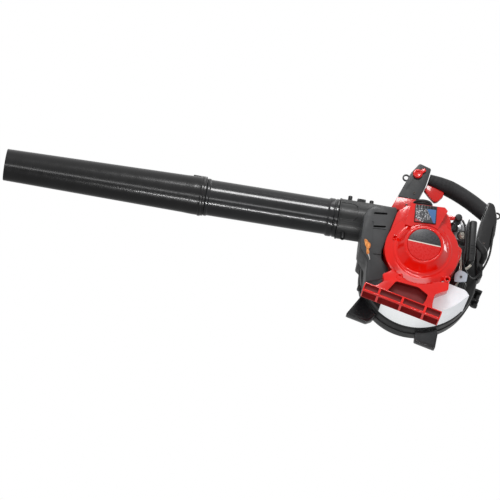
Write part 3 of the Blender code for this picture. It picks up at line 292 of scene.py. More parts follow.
def make_finishes():
    """Every finish by plain name."""
    return {
        "red": plastic("red_plastic", (0.78, 0.006, 0.002), 0.16, 0.04, 900, 0.3, 0.08, 0.08),
        # Darker red for the stand's recesses: painted shade on the same red moulding.
        "painted_shade_red": plastic("painted_shade_red_plastic", (0.20, 0.002, 0.002), 0.5, 0.05, 900, 0.0, 0.15, 0.05),
        "nozzle": plastic("nozzle_plastic", (0.006, 0.006, 0.0065), 0.24, 0.08, 1200, 0.2, 0.3, 0.05),
        "tube": plastic("tube_plastic", (0.010, 0.0105, 0.0115), 0.20, 0.06, 1200, 0.3, 0.3, 0.05),
        "black": plastic("black_plastic", (0.010, 0.0105, 0.011), 0.38, 0.22, 1600, 0.08, 0.3, 0.12),
        "gloss_black": plastic("gloss_black_plastic", (0.008, 0.008, 0.009), 0.2, 0.06, 1000, 0.4, 0.3, 0.1),
        "charcoal": plastic("charcoal_plastic", (0.026, 0.028, 0.030), 0.42, 0.25, 1400, 0.05, 0.2, 0.15),
        "rubber": plastic("rubber", (0.010, 0.010, 0.0105), 0.55, 0.3, 1300, 0.0, 0.3, 0.1),
        "grip": ribbed_rubber(),
        "aluminium": metal("cast_aluminium", (0.62, 0.63, 0.64), 0.42, 500, 0.35),
        "steel": metal("bright_steel", (0.68, 0.68, 0.70), 0.24, 300, 0.12, (1, 8, 1)),
        "dark_steel": metal("heat_dark_steel", (0.16, 0.14, 0.13), 0.5, 350, 0.3),
        "tank": tank_plastic(),
        "orange": fibre("heat_pad", (0.50, 0.13, 0.02), (0.95, 0.42, 0.12), 260),
        "foam": fibre("filter_foam", (0.05, 0.05, 0.045), (0.22, 0.22, 0.2), 420),
        "rope": rope_braid(),
        "clear": clear_plastic(),
        "pale": plastic("pale_fitting", (0.42, 0.47, 0.54), 0.4, 0.1, 900, 0.1, 0.15),
        "badge": badge_print(),
        "sticker": sticker_print(),
    }


# ---------------------------------------------------------------- mesh helpers
def mm_points(*points):
    """Outline points given in millimetres, returned in metres."""
    return [(x * MM, z * MM) for x, z in points]


def mm_at(x, y, z):
    """Point given in millimetres."""
    return Vector((x, y, z)) * MM


def rod(radius, start, end):
    """Profile of a round bar between two heights, given in millimetres."""
    return mm_points((0, start), (radius, start), (radius, end), (0, end))


def sleeve(inner, outer, start, end):
    """Profile of a round sleeve between two heights, given in millimetres."""
    return mm_points((inner, start), (outer, start), (outer, end), (inner, end))


def object_of(name, bm, finish=None, smooth=40):
    """Close a bmesh into a smooth-shaded object with its faces pointing out."""
    bmesh.ops.recalc_face_normals(bm, faces=bm.faces)
    if bm.calc_volume(signed=True) < 0:
        bmesh.ops.reverse_faces(bm, faces=bm.faces)
    mesh = bpy.data.meshes.new(name)
    bm.to_mesh(mesh)
    bm.free()
    if finish is not None:
        mesh.materials.append(finish)
    made = bpy.data.objects.new(name, mesh)
    bpy.context.scene.collection.objects.link(made)
    mesh.shade_smooth()
    mesh.set_sharp_from_angle(angle=radians(smooth))
    return made


def bridge(bm, lower, upper):
    """Join two rings of points, either of which may be a single pole."""
    for i in range(max(len(lower), len(upper))):
        j = (i + 1) % max(len(lower), len(upper))
        if len(lower) == 1:
            bm.faces.new((lower[0], upper[i], upper[j]))
        elif len(upper) == 1:
            bm.faces.new((lower[i], lower[j], upper[0]))
        else:
            bm.faces.new((lower[i], lower[j], upper[j], upper[i]))


def turned(name, profile, base, axis, finish=None, sides=FINE, smooth=40):
    """Solid of revolution: (radius, height) points along axis from base."""
    bm = bmesh.new()
    place = Matrix.Translation(base) @ UP.rotation_difference(axis).to_matrix().to_4x4()
    turns = [2 * pi * i / sides for i in range(sides)]
    rings = []
    for radius, height in profile:
        if radius < 1e-6:
            rings.append([bm.verts.new(place @ Vector((0, 0, height)))])
            continue
        rings.append([bm.verts.new(place @ Vector((radius * cos(a), radius * sin(a),
                height))) for a in turns])
    for lower, upper in zip(rings, rings[1:]):
        bridge(bm, lower, upper)
    if len(rings[0]) > 1 and len(rings[-1]) > 1:
        bridge(bm, rings[-1], rings[0])
    return object_of(name, bm, finish, smooth)


def rounded_profile(points, radius, steps=3):
    """Profile or outline with each inner corner replaced by a short arc; ends stay."""
    done = [points[0]]
    for before, corner, after in zip(points, points[1:], points[2:]):
        corner_v = Vector(corner)
        back = Vector(before) - corner_v
        ahead = Vector(after) - corner_v
        reach = min(radius, back.length * 0.45, ahead.length * 0.45)
        start = corner_v + back.normalized() * reach
        end = corner_v + ahead.normalized() * reach
        for i in range(steps + 1):
            t = i / steps
            point = start * (1 - t) ** 2 + corner_v * 2 * t * (1 - t) + end * t * t
            done.append((point.x, point.y))
    done.append(points[-1])
    return done


def lathe(name, profile, corner, base, axis, finish=None, sides=FINE):
    """Turned piece whose profile corners are rounded by so many millimetres."""
    return turned(name, rounded_profile(profile, corner * MM), base, axis, finish, sides)


def rounded_loop(points, radius, steps=4):
    """Closed outline with every corner rounded."""
    wrapped = rounded_profile([points[-1], *points, points[0]], radius, steps)
    return wrapped[1:-1]


def plate(name, outline, near, far, finish=None, smooth=35):
    """Outline in the XZ plane, extruded along Y."""
    bm = bmesh.new()
    front = [bm.verts.new((x, near, z)) for x, z in outline]
    back = [bm.verts.new((x, far, z)) for x, z in outline]
    bm.faces.new(front)
    bm.faces.new(back)
    bridge(bm, front, back)
    return object_of(name, bm, finish, smooth)


def slab(name, outline, corner, near, far, finish=None, edge=0.0, segments=3):
    """Plate with rounded corners and, given an edge width, softened rims; both in millimetres."""
    made = plate(name, rounded_loop(outline, corner * MM), near, far, finish)
    return soften(made, edge * MM, segments) if edge else made


def spun(place, i, count, axis):
    """Matrix for the i-th of so many equal turns about an axis through a place."""
    return Matrix.Translation(place) @ Matrix.Rotation(2 * pi * i / count, 4, axis)


def block(name, low, high, finish=None, place=None):
    """Box between two corners, carried by an optional matrix."""
    bm = bmesh.new()
    bmesh.ops.create_cube(bm, size=1.0)
    low, high = Vector(low), Vector(high)
    fit = Matrix.Translation((low + high) / 2) @ Matrix.Diagonal((*(high - low), 1.0))
    bmesh.ops.transform(bm, matrix=(place or Matrix.Identity(4)) @ fit, verts=bm.verts)
    return object_of(name, bm, finish, 30)


def bake(piece):
    """Apply a piece's modifiers to its mesh and shade it smooth up to its sharp edges."""
    graph = bpy.context.evaluated_depsgraph_get()
    mesh = bpy.data.meshes.new_from_object(piece.evaluated_get(graph))
    piece.modifiers.clear()
    old = piece.data
    piece.data = mesh
    bpy.data.meshes.remove(old)
    mesh.shade_smooth()
    mesh.set_sharp_from_angle(angle=radians(38))
    return piece


def soften(piece, width, segments=3, angle=30):
    """Round the sharp edges of a piece and shade it smooth."""
    step = piece.modifiers.new("edges", "BEVEL")
    step.width = width
    step.segments = segments
    step.limit_method = "ANGLE"
    step.angle_limit = radians(angle)
    return bake(piece)


def combine(piece, tools, operation):
    """Boolean of a piece with throw-away tools."""
    for tool in tools:
        step = piece.modifiers.new("join", "BOOLEAN")
        step.operation = operation
        step.solver = "EXACT"
        step.material_mode = "TRANSFER"
        step.object = tool
    bake(piece)
    for tool in tools:
        bpy.data.objects.remove(tool, do_unlink=True)
    return piece


def carve(piece, *tools):
    """Take the tools' volume away."""
    return combine(piece, tools, "DIFFERENCE")


def weld(piece, *tools):
    """Add the tools' volume."""
    return combine(piece, tools, "UNION")


def fixed(piece):
    """A finished piece rides the machine's main body."""
    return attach(piece, "machine")


def stand_in(piece, node):
    """A finished piece rides its node's body and is shown in the node's place."""
    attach(piece, BODY_OF[node])
    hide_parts(node)
    return piece


def dress(node, finish, width, segments=3):
    """Copy a CAD node's shape with merged facets and rounded edges, and show it instead."""
    bm = bmesh.new()
    bm.from_mesh(frame["nodes"][node].data)
    bmesh.ops.remove_doubles(bm, verts=bm.verts, dist=2e-6)
    bmesh.ops.dissolve_limit(bm, angle_limit=radians(1.0), verts=bm.verts, edges=bm.edges)
    points = [tuple(v.co) for v in bm.verts]
    bm.verts.index_update()
    faces = [[v.index for v in face.verts] for face in bm.faces]
    bm.free()
    mesh = bpy.data.meshes.new(f"{node}_skin")
    mesh.from_pydata(points, [], faces)
    mesh.materials.append(finish)
    piece = bpy.data.objects.new(f"{node}_skin", mesh)
    bpy.context.scene.collection.objects.link(piece)
    return stand_in(soften(piece, width, segments), node)


def smooth_path(points, steps=8):
    """Catmull-Rom curve through the given points."""
    knots = [2 * points[0] - points[1], *points, 2 * points[-1] - points[-2]]
    path = []
    for a, b, c, d in zip(knots, knots[1:], knots[2:], knots[3:]):
        for i in range(steps):
            t = i / steps
            bend = 2 * a - 5 * b + 4 * c - d
            twist = 3 * b - a - 3 * c + d
            path.append(0.5 * (2 * b + (c - a) * t + bend * t * t + twist * t ** 3))
    path.append(points[-1])
    return path


def swept(name, path, radius_at, finish, sides=24, side_scale=1.0):
    """Round section carried along a path; radius_at gives its radius at a fraction of the path."""
    bm = bmesh.new()
    rings = []
    last = len(path) - 1
    for i, centre in enumerate(path):
        forward = (path[min(i + 1, last)] - path[max(i - 1, 0)]).normalized()
        across = ALONG_Y if abs(forward.y) < 0.9 else UP
        across = (across - forward * across.dot(forward)).normalized()
        rise = forward.cross(across)
        radius = radius_at(i / last)
        ring = []
        for k in range(sides):
            turn = 2 * pi * k / sides
            offset = across * cos(turn) * side_scale + rise * sin(turn)
            ring.append(bm.verts.new(centre + offset * radius))
        rings.append(ring)
    for lower, upper in zip(rings, rings[1:]):
        bridge(bm, lower, upper)
    bm.faces.new(rings[0])
    bm.faces.new(rings[-1])
    return object_of(name, bm, finish, 60)


def along_tube(station, up=0.0, side=0.0):
    """Point on the tube axis, counted from the sleeve's mouth."""
    return TUBE_JOIN + TUBE_AXIS * station + TUBE_UP * up + ALONG_Y * side


def on_cylinder(height, rear=0.0, side=0.0):
    """Point at millimetres up the cylinder axis, to its rear and to its side."""
    return CYL_FOOT + (CYL_UP * height + CYL_REAR * rear + ALONG_Y * side) * MM


def around_crank(radius, degrees, y=0.0):
    """Point at a radius and angle about the crankshaft axis."""
    turn = radians(degrees)
    return Vector((radius * cos(turn), y, CRANK_Z + radius * sin(turn)))


def cylinder_place(origin=CYL_FOOT):
    """Matrix with X to the rear of the cylinder, Y across and Z up it."""
    return Matrix.Translation(origin) @ Matrix((CYL_REAR, ALONG_Y, CYL_UP)).transposed().to_4x4()


def tube_place(origin=TUBE_JOIN):
    """Matrix with X along the tube to the nozzle, Y across and Z up."""
    return Matrix.Translation(origin) @ Matrix((TUBE_AXIS, ALONG_Y, TUBE_UP)).transposed().to_4x4()


def screw(name, at, axis, radius, finish):
    """Socket-head screw with a rounded rim and a recess in its head."""
    height = radius * 0.8
    head = rounded_profile([(0, -radius * 0.4), (radius, -radius * 0.4), (radius, height),
            (radius * 0.55, height), (radius * 0.5, height * 0.35), (0, height * 0.35)], radius * 0.2, 3)
    return fixed(turned(name, head, at, axis, finish, 24))


# ---------------------------------------------------------------- fan case, feet, tube, nozzle
def scroll_radius(degrees):
    """Radius of the fan case at an angle counted on from 180 degrees."""
    return (108 + 37 * (degrees - 180) / 270) * MM


def scroll_outline(inset, steps=110):
    """Spiral outline of the fan case, closed by a chord; a positive inset makes it smaller."""
    outline = []
    for i in range(steps + 1):
        degrees = 180 + 288 * i / steps
        point = around_crank(scroll_radius(degrees) - inset, degrees)
        outline.append((point.x, point.z))
    return outline


def duct(name, radius, start, end, steps=8):
    """Outlet duct along the tube axis: round at the mouth, narrower inside the case."""
    full = -55.4 * MM
    stations = [start + (full - start) * i / steps for i in range(steps + 1)] + [end]
    bm = bmesh.new()
    rings = []
    for at in stations:
        part = min(1.0, (at - start) / (full - start))
        width = 0.79 + 0.21 * part * part * (3 - 2 * part)
        turns = [2 * pi * k / 96 for k in range(96)]
        rings.append([bm.verts.new(along_tube(at, radius * sin(a),
                radius * cos(a) * width)) for a in turns])
    for lower, upper in zip(rings, rings[1:]):
        bridge(bm, lower, upper)
    bm.faces.new(rings[0])
    bm.faces.new(rings[-1])
    return object_of(name, bm)


def fan_case(f):
    """Two case halves with rounded rims, a seam flange, the outlet duct, a corner lug and bosses."""
    wall = 3 * MM
    gap = 0.2 * MM
    for node, sign, eye_r, eye_y in (("fan_case_inner", -1, 20, CASE_NEAR),
            ("fan_case_outer", 1, 62, CASE_FAR)):
        shell = plate(f"{node}_shell", scroll_outline(0), CASE_NEAR, CASE_FAR, f["black"])
        half = soften(shell, 8 * MM, 5, 60)
        flange = plate("flange", scroll_outline(-1.6 * MM), SPLIT_Y + sign * gap,
                SPLIT_Y + sign * 2.4 * MM)
        lip = lathe("lip", sleeve(30, SLEEVE_R / MM + 0.9, -3.6, 0), 0.6, TUBE_JOIN, TUBE_AXIS, None, 120)
        lug_line = rounded_loop(mm_points((-124, 151), (-104, 156), (-100, 104), (-117, 112)), 3 * MM)
        lug = soften(plate("lug", lug_line, CASE_NEAR + 10 * MM, CASE_FAR - 10 * MM), 2 * MM)
        weld(half, duct("duct", SLEEVE_R, -148.7 * MM, 0), lip, flange, lug)
        other = (SPLIT_Y - sign * 0.1, SPLIT_Y + sign * gap)
        trim = block("trim", (-0.3, min(other), -0.1), (0.25, max(other), 0.4))
        room = soften(plate("room", scroll_outline(wall), CASE_NEAR + wall, CASE_FAR - wall), 3 * MM, 2,
                60)
        bore = duct("bore", TUBE_R + 0.4 * MM, -145.7 * MM, 60 * MM)
        carve(half, trim, room, bore)
        carve(half, turned("opening", rod(eye_r, 0, 30), Vector((0, eye_y - 0.01, CRANK_Z)), ALONG_Y))
        if sign > 0:
            for level in (-11 * MM, 11 * MM):
                low = GUARD_PIN + Vector((-20 * MM, -16 * MM, level - 2.5 * MM))
                high = GUARD_PIN + Vector((7 * MM, 6 * MM, level + 2.5 * MM))
                weld(half, soften(block("hinge_lug", low, high), 1 * MM))
            carve(half, turned("pin_hole", rod(3.4, 0, 80), GUARD_PIN - UP * 0.04, UP, None, 32))
        stand_in(half, node)
    for degrees in (214, 248, 310, 38):
        turn = degrees if degrees > 180 else degrees + 360
        at = around_crank(scroll_radius(turn) + 1.6 * MM, degrees, SPLIT_Y)
        boss = lathe(f"case_boss_{degrees}", sleeve(0, 4.4, -7.5, 7.5), 0.8, at, ALONG_Y, f["black"], 32)
        fixed(boss)
        screw(f"case_screw_{degrees}", at - ALONG_Y * 7.5 * MM, -ALONG_Y, 2.6 * MM, f["dark_steel"])
    sleeve_bosses(f)


def sleeve_bosses(f):
    """Screw bosses and the latch rib that stand on the outlet sleeve."""
    boss = mm_points((0, 0), (4.6, 0), (4.6, 12), (2.3, 12), (2.3, 9), (0, 9))
    for name, station, foot in (("front", -21, 41), ("rear", -67, 38)):
        at = along_tube(station * MM, foot * MM, -3 * MM)
        fixed(lathe(f"sleeve_boss_{name}", boss, 1, at, TUBE_UP, f["black"], 32))
    place = tube_place()
    latch = soften(block("sleeve_latch", (-54 * MM, -12 * MM, 40 * MM), (-36 * MM, 6 * MM, 48 * MM),
            f["black"], place), 1.6 * MM)
    carve(latch, block("latch_slot", (-50 * MM, -20 * MM, 44.5 * MM), (-40 * MM, 10 * MM, 46.5 * MM),
            None, place))
    fixed(latch)
    low_boss = along_tube(-15 * MM, -38 * MM, -17 * MM)
    down = (-TUBE_UP - ALONG_Y * 0.35).normalized()
    boss = mm_points((0, 0), (5, 0), (4.6, 16), (2.4, 16), (2.4, 12), (0, 12))
    fixed(lathe("sleeve_boss_low", boss, 1, low_boss, down, f["black"], 32))
    ridge = []
    for station, turn in ((-4, -34), (-24, -34), (-34, -30), (-38, -20), (-38, 8), (-34, 18), (-24, 22),
            (-4, 22)):
        angle = radians(turn)
        ridge.append(along_tube(station * MM, -SLEEVE_R * sin(angle), -SLEEVE_R * cos(angle)))
    line = smooth_path(ridge, 6)
    fixed(swept("bayonet_ridge", line, lambda t: 1.1 * MM, f["black"], 12))


def feet(f):
    """Moulded feet with a rounded sole edge and a ribbed pocket on the far side."""
    outlines = {
        "front_foot": mm_points((-100, 0), (-55, 0), (-45, 9), (-38, 32), (-42, 52), (-82, 58)),
        "rear_foot": mm_points((52, 0), (98, 0), (92, 36), (84, 46), (46, 24)),
    }
    pockets = {
        "front_foot": mm_points((-93, 7), (-57, 7), (-48, 14), (-44, 30), (-48, 44), (-80, 50)),
        "rear_foot": mm_points((57, 6), (92, 6), (87, 30), (82, 38), (52, 20)),
    }
    for node, outline in outlines.items():
        near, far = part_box(node)[0].y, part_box(node)[1].y
        foot = slab(f"{node}_body", outline, 3, near, far, f["gloss_black"], 1.6)
        case = plate("case", scroll_outline(-0.4 * MM), CASE_NEAR - 0.4 * MM, CASE_FAR)
        pocket = slab("pocket", pockets[node], 3, near + 10 * MM, far + 10 * MM)
        rib_x = sum(x for x, _ in outline) / len(outline)
        rib = block("rib", (rib_x - 1.5 * MM, near + 9 * MM, 6 * MM),
                (rib_x + 1.5 * MM, far - 1 * MM, 46 * MM))
        face = slab("face", pockets[node], 3, near - 0.01, near + 0.9 * MM)
        carve(foot, pocket, face)
        weld(foot, rib)
        carve(foot, case)
        stand_in(foot, node)


def tube_and_nozzle(f):
    """Smooth tube with collar, bead and ribs, and the tapered nozzle with its band and tab."""
    tube, collar, bead, wall = TUBE_R / MM, 40.6, 39.7, 2
    mouth = TUBE_JOIN - TUBE_AXIS * 26.7 * MM
    profile = mm_points((tube, -16), (tube, 27.4), (collar, 27.4), (collar, 33), (collar - 1.2, 34),
            (collar - 1.2, 36), (collar, 37), (collar, 47), (tube, 50), (tube, 301), (bead, 303),
            (bead, 308), (tube, 309.3), (tube, 334.5), (tube - wall, 334.5), (tube - wall, -16))
    made = lathe("blower_tube_skin", profile, 0.8, mouth, TUBE_AXIS, f["tube"], 128)
    stand_in(made, "blower_tube")
    rear, band, tip = 40.5, 41.9, 33.5
    profile = mm_points((tube + 0.4, 0), (rear - 0.4, 0), (rear, 1.5), (rear, 5), (band, 6.5),
            (band, 11), (rear, 12.5), (rear, 26), (39.7, 44), (39.4, 60), (tip + 0.1, 423),
            (tip + 0.1, 427.1), (tip - wall, 427.1), (tube - wall, 60), (tube + 0.4, 28), (tube + 0.4, 0))
    nozzle = turned("nozzle_skin", rounded_profile(profile, 1.6 * MM, 4)[:-1], NOZZLE_JOIN, TUBE_AXIS,
            f["nozzle"], 128)
    place = tube_place(NOZZLE_JOIN)
    tab = soften(block("tab", (1 * MM, -6 * MM, TUBE_R + 1 * MM), (31 * MM, 6 * MM, TUBE_R + 6 * MM),
            None, place), 1.2 * MM)
    weld(nozzle, tab)
    stand_in(nozzle, "nozzle")


def impeller(f):
    """Closed back plate, domed hub and ten swept blades as one moulding."""
    near, far = 138, 186
    hub = mm_points((6.4, 137), (18, 137), (20, near), (96, near), (96, near + 3), (30, near + 3),
            (18, 152), (14, 165), (14, 188), (6.4, 188))
    fan = lathe("impeller_skin", hub, 1, CRANK, ALONG_Y, f["charcoal"])
    steps = 8
    blades = []
    for i in range(10):
        line = []
        for k in range(steps + 1):
            part = k / steps
            line.append(around_crank((36 + 58 * part) * MM, 36 * i - 26 * part * part))
        outer, inner = [], []
        for k, point in enumerate(line):
            ahead = line[min(k + 1, steps)] - line[max(k - 1, 0)]
            square = Vector((-ahead.z, 0, ahead.x)).normalized() * 1.2 * MM
            outer.append(((point + square).x, (point + square).z))
            inner.append(((point - square).x, (point - square).z))
        blades.append(plate("blade", outer + inner[::-1], (near + 2) * MM, far * MM))
    weld(fan, *blades)
    stand_in(fan, "impeller")


# ---------------------------------------------------------------- engine
def cylinder_parts(f):
    """Finned cylinder, ribbed plug boot and its lead."""
    foot, flange, top, roof = 31, 36, 84, 77
    liner, fin, root, bore = 20.3, 31, 22, 17.4
    profile = [(bore, foot), (liner, foot), (liner, flange), (27, flange), (27, flange + 4),
            (root, flange + 4)]
    for i in range(6):
        low = flange + 7 + 6.6 * i
        profile += [(root, low), (fin, low + 0.3), (fin, low + 1.7), (root, low + 2)]
    profile += [(root, top), (5.4, top), (5.4, roof), (bore, roof)]
    skin = turned("cylinder_skin", mm_points(*profile), CYL_FOOT, CYL_UP, f["aluminium"], 64)
    stand_in(skin, "cylinder")
    boot = mm_points((0, 118), (5.6, 118), (5.6, 98), (9, 98), (14, 105), (20, 108.5))
    for level in (109.5, 113.5, 117.5, 121.5):
        boot += mm_points((21, level), (21, level + 2.2), (19.6, level + 2.8), (19.6, level + 3.4))
    boot += mm_points((21, 125.5), (21, 127.5), (19, 131), (12, 134), (0, 134))
    stand_in(lathe("plug_boot_skin", boot, 0.7, CYL_FOOT, CYL_UP, f["rubber"], 64), "plug_boot")
    coil = Matrix.Rotation(-radians(55), 3, "Y") @ Vector((75 * MM, 112 * MM, 0))
    points = [on_cylinder(117, 0, 21.2), on_cylinder(113, 1, 42), on_cylinder(88, 20, 51), CRANK + coil]
    stand_in(swept("ignition_lead_skin", smooth_path(points, 14), lambda t: 3 * MM, f["rubber"], 20),
            "ignition_lead")


def flywheel(f):
    """Finned flywheel."""
    profile = mm_points((6.4, 99), (16, 99), (16, 104), (49, 106), (49, 122), (43, 122), (43, 112),
            (16, 110), (16, 124), (6.4, 124))
    wheel = lathe("flywheel_skin", profile, 0.8, CRANK, ALONG_Y, f["aluminium"])
    vanes = []
    for i in range(14):
        place = spun(CRANK, i, 14, "Y")
        vanes.append(block("vane", (18 * MM, 111 * MM, -1 * MM), (43.5 * MM, 120 * MM, 1 * MM), None,
                place))
    weld(wheel, *vanes)
    stand_in(wheel, "flywheel")


def stub_opening():
    """Cutter for the passage of the exhaust stub through the covers."""
    place = Vector((-85 * MM, CYL_Y, 160 * MM))
    return turned("stub_opening", rod(10, 0, 26), place, Vector((25, 0, 4)).normalized(), None, 32)


def muffler_parts(f):
    """Muffler box, its plastic cover with louvres and the fibrous heat pad."""
    dress("muffler", f["dark_steel"], 0.6 * MM)
    outline = mm_points((-138, 170), (-135, 185), (-125, 198), (-82, 212), (-76.5, 205), (-76.5, 108),
            (-70, 92), (-48, 78), (-57, 50), (-72, 41), (-84, 34), (-90, 54), (-97, 80), (-121, 99),
            (-127, 122))
    room = mm_points((-134.8, 170), (-132, 183.5), (-123.5, 195), (-83, 208.5), (-79.5, 204),
            (-79.5, 107), (-72.5, 89.5), (-51.5, 77), (-59.5, 52.5), (-73.5, 44), (-82, 38.5), (-87, 55),
            (-94.5, 81.5), (-118, 100.5), (-124, 123))
    near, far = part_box("muffler_cover")[0].y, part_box("muffler_cover")[1].y
    cover = slab("muffler_cover_body", outline, 5, near, far, f["charcoal"], 3.4, 4)
    cuts = [slab("room", room, 4, near + 3.6 * MM, far + 4 * MM)]
    cuts.append(stub_opening())
    for left, right, level in ((-120, -94, 193), (-111, -87, 165)):
        slot = mm_points((left, level - 8.5), (right, level), (right, level - 4.2), (left, level - 13.2))
        cuts.append(slab("slot", slot, 1.5, near - 0.01, near + 0.02))
    panel = mm_points((-112, 150), (-84, 158), (-80, 104), (-92, 100))
    cuts.append(slab("panel", panel, 3, near - 0.01, near + 1.2 * MM))
    edge = mm_points((-117, 163), (-114.6, 164), (-91, 98), (-66, 104), (-66, 101.6), (-91.6, 95))
    cuts.append(plate("edge_line", edge, near - 0.01, near + 1.6 * MM))
    carve(cover, *cuts)
    stand_in(cover, "muffler_cover")
    pad_low, pad_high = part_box("heat_shield")
    outline = [(-119, 120), (-114, 121), (-109, 117), (-103, 115), (-101, 108), (-103, 103), (-98.6, 96),
            (-98.4, 90), (-103, 91), (-106, 97), (-108, 104), (-112, 107), (-115, 112)]
    pad = slab("heat_pad", mm_points(*outline), 1.6, pad_low.y, pad_high.y + 0.4 * MM, f["orange"])
    stand_in(soften(pad, 0.8 * MM), "heat_shield")
    tail = smooth_path([mm_at(-100, 21, 92), mm_at(-96, 21, 87), mm_at(-93, 21.4, 82)])
    fixed(swept("heat_pad_tail", tail, lambda t: (1.8 - 1.0 * t) * MM, f["rope"], 12))


# ---------------------------------------------------------------- red covers and starter
def engine_cowl(f):
    """Red cowl: forward face round the dish with two rounded shoulders and a sunk black strip."""
    outline = mm_points((-60, 94), (-75, 112), (-76, 198), (-64, 218), (-47, 221.5), (12, 238), (30, 226),
            (38, 209), (46, 189), (62, 176), (76, 171), (79, 150), (74, 115), (56, 114), (46, 94))
    room = mm_points((-58.6, 97), (-72, 113), (-73, 197), (-62.3, 215), (-46, 218.5), (11.5, 234.7),
            (27.5, 224), (35, 208), (43.5, 187), (60, 173), (73.5, 168.5), (76, 150), (71.5, 118),
            (54.5, 117), (44.5, 97))
    near, far, front, floor = 5.4 * MM, 100 * MM, -16 * MM, -12 * MM
    cowl = soften(plate("engine_cowl_body", rounded_loop(outline, 7 * MM, 6), near - 1 * MM, far,
            f["red"]), 2.6 * MM, 4, 50)
    place = cylinder_place()
    middle_line = mm_points((-52, 170), (-56, 219), (-47, 220), (12, 236), (20, 231), (12, 170))
    middle = plate("middle", middle_line, floor, near + 4 * MM)
    left_line = mm_points((-76, 128), (-76, 198), (-64, 217), (-49, 219.6), (-45.6, 214), (-37, 184),
            (-40, 128))
    left = soften(plate("left_shoulder", rounded_loop(left_line, 9 * MM, 8), front, near + 4 * MM),
            6 * MM, 6)
    right_line = mm_points((4, 180), (0, 222), (-1.6, 232), (12, 235.6), (29, 225), (38, 207), (46, 189),
            (66, 172), (76, 130), (30, 130))
    right = soften(plate("right_shoulder", rounded_loop(right_line, 7 * MM, 6), front + 1 * MM,
            near + 4 * MM), 5 * MM, 6)
    for shoulder, outward in ((left, Vector((-0.35, -1, -0.42))), (right, Vector((0.42, -1, -0.36)))):
        slope = UP.rotation_difference(outward.normalized()).to_matrix().to_4x4()
        at = around_crank(67 * MM, 150 if shoulder is left else 28, -6 * MM)
        wedge = block("slope", (-0.2, -0.2, 0), (0.2, 0.2, 0.1), None, Matrix.Translation(at) @ slope)
        carve(shoulder, wedge)
        soften(shoulder, 1.6 * MM, 3)
    weld(cowl, middle, left, right)
    inside = plate("room", rounded_loop(room, 6 * MM, 6), near + 3 * MM, far + 0.01)
    dish_room = mm_points((0, -50), (39.6, -50), (41.6, -33), (52.6, -12), (55.4, -9), (58.8, -9),
            (61.2, -6), (74.7, -0.5), (77.1, 1.2), (77.1, 5.4), (62, 5.4), (62, 12), (0, 12))
    dish = turned("dish_room", dish_room, CRANK, ALONG_Y, None, 128)
    boot = turned("boot", rod(23, 88, 150), CYL_FOOT, CYL_UP)
    insulator = block("insulator", (20 * MM, -15 * MM, 47 * MM), (98 * MM, 15 * MM, 77 * MM), None, place)
    guide_room = mm_points((0, 50), (6.6, 50), (6.6, 87), (9, 87), (9, 130), (0, 130))
    guide = turned("guide", guide_room, rope_point(0), ROPE_AXIS, None, 32)
    carve(cowl, inside, dish, boot, insulator, stub_opening(), guide)
    stand_in(cowl, "engine_cowl")
    half = 22.4 * MM
    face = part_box("cowl_panel")[0].y - CYL_Y
    low, high = (-half, face, 55 * MM), (half, face + 2.2 * MM, 94 * MM)
    stand_in(soften(block("cowl_panel_body", low, high, f["black"], place), 0.8 * MM), "cowl_panel")
    low, high = (1.6 * MM - half, face - 0.4 * MM, 56.6 * MM), (half - 1.6 * MM, face, 86 * MM)
    fixed(block("cowl_label", low, high, f["sticker"], place))
    for i in range(7):
        x = (-19.5 + 6 * i) * MM
        low, high = (x, face - 1.4 * MM, 88 * MM), (x + 3 * MM, face + 0.4 * MM, 93.4 * MM)
        fixed(soften(block(f"panel_rib_{i}", low, high, f["rubber"], place), 0.6 * MM))


def rope_point(distance):
    """Point on the rope, counted up from where it leaves the reel."""
    square = Vector((ROPE_AXIS.z, 0, -ROPE_AXIS.x))
    return Vector((0, 12 * MM, CRANK_Z)) + square * 28.2 * MM + ROPE_AXIS * distance


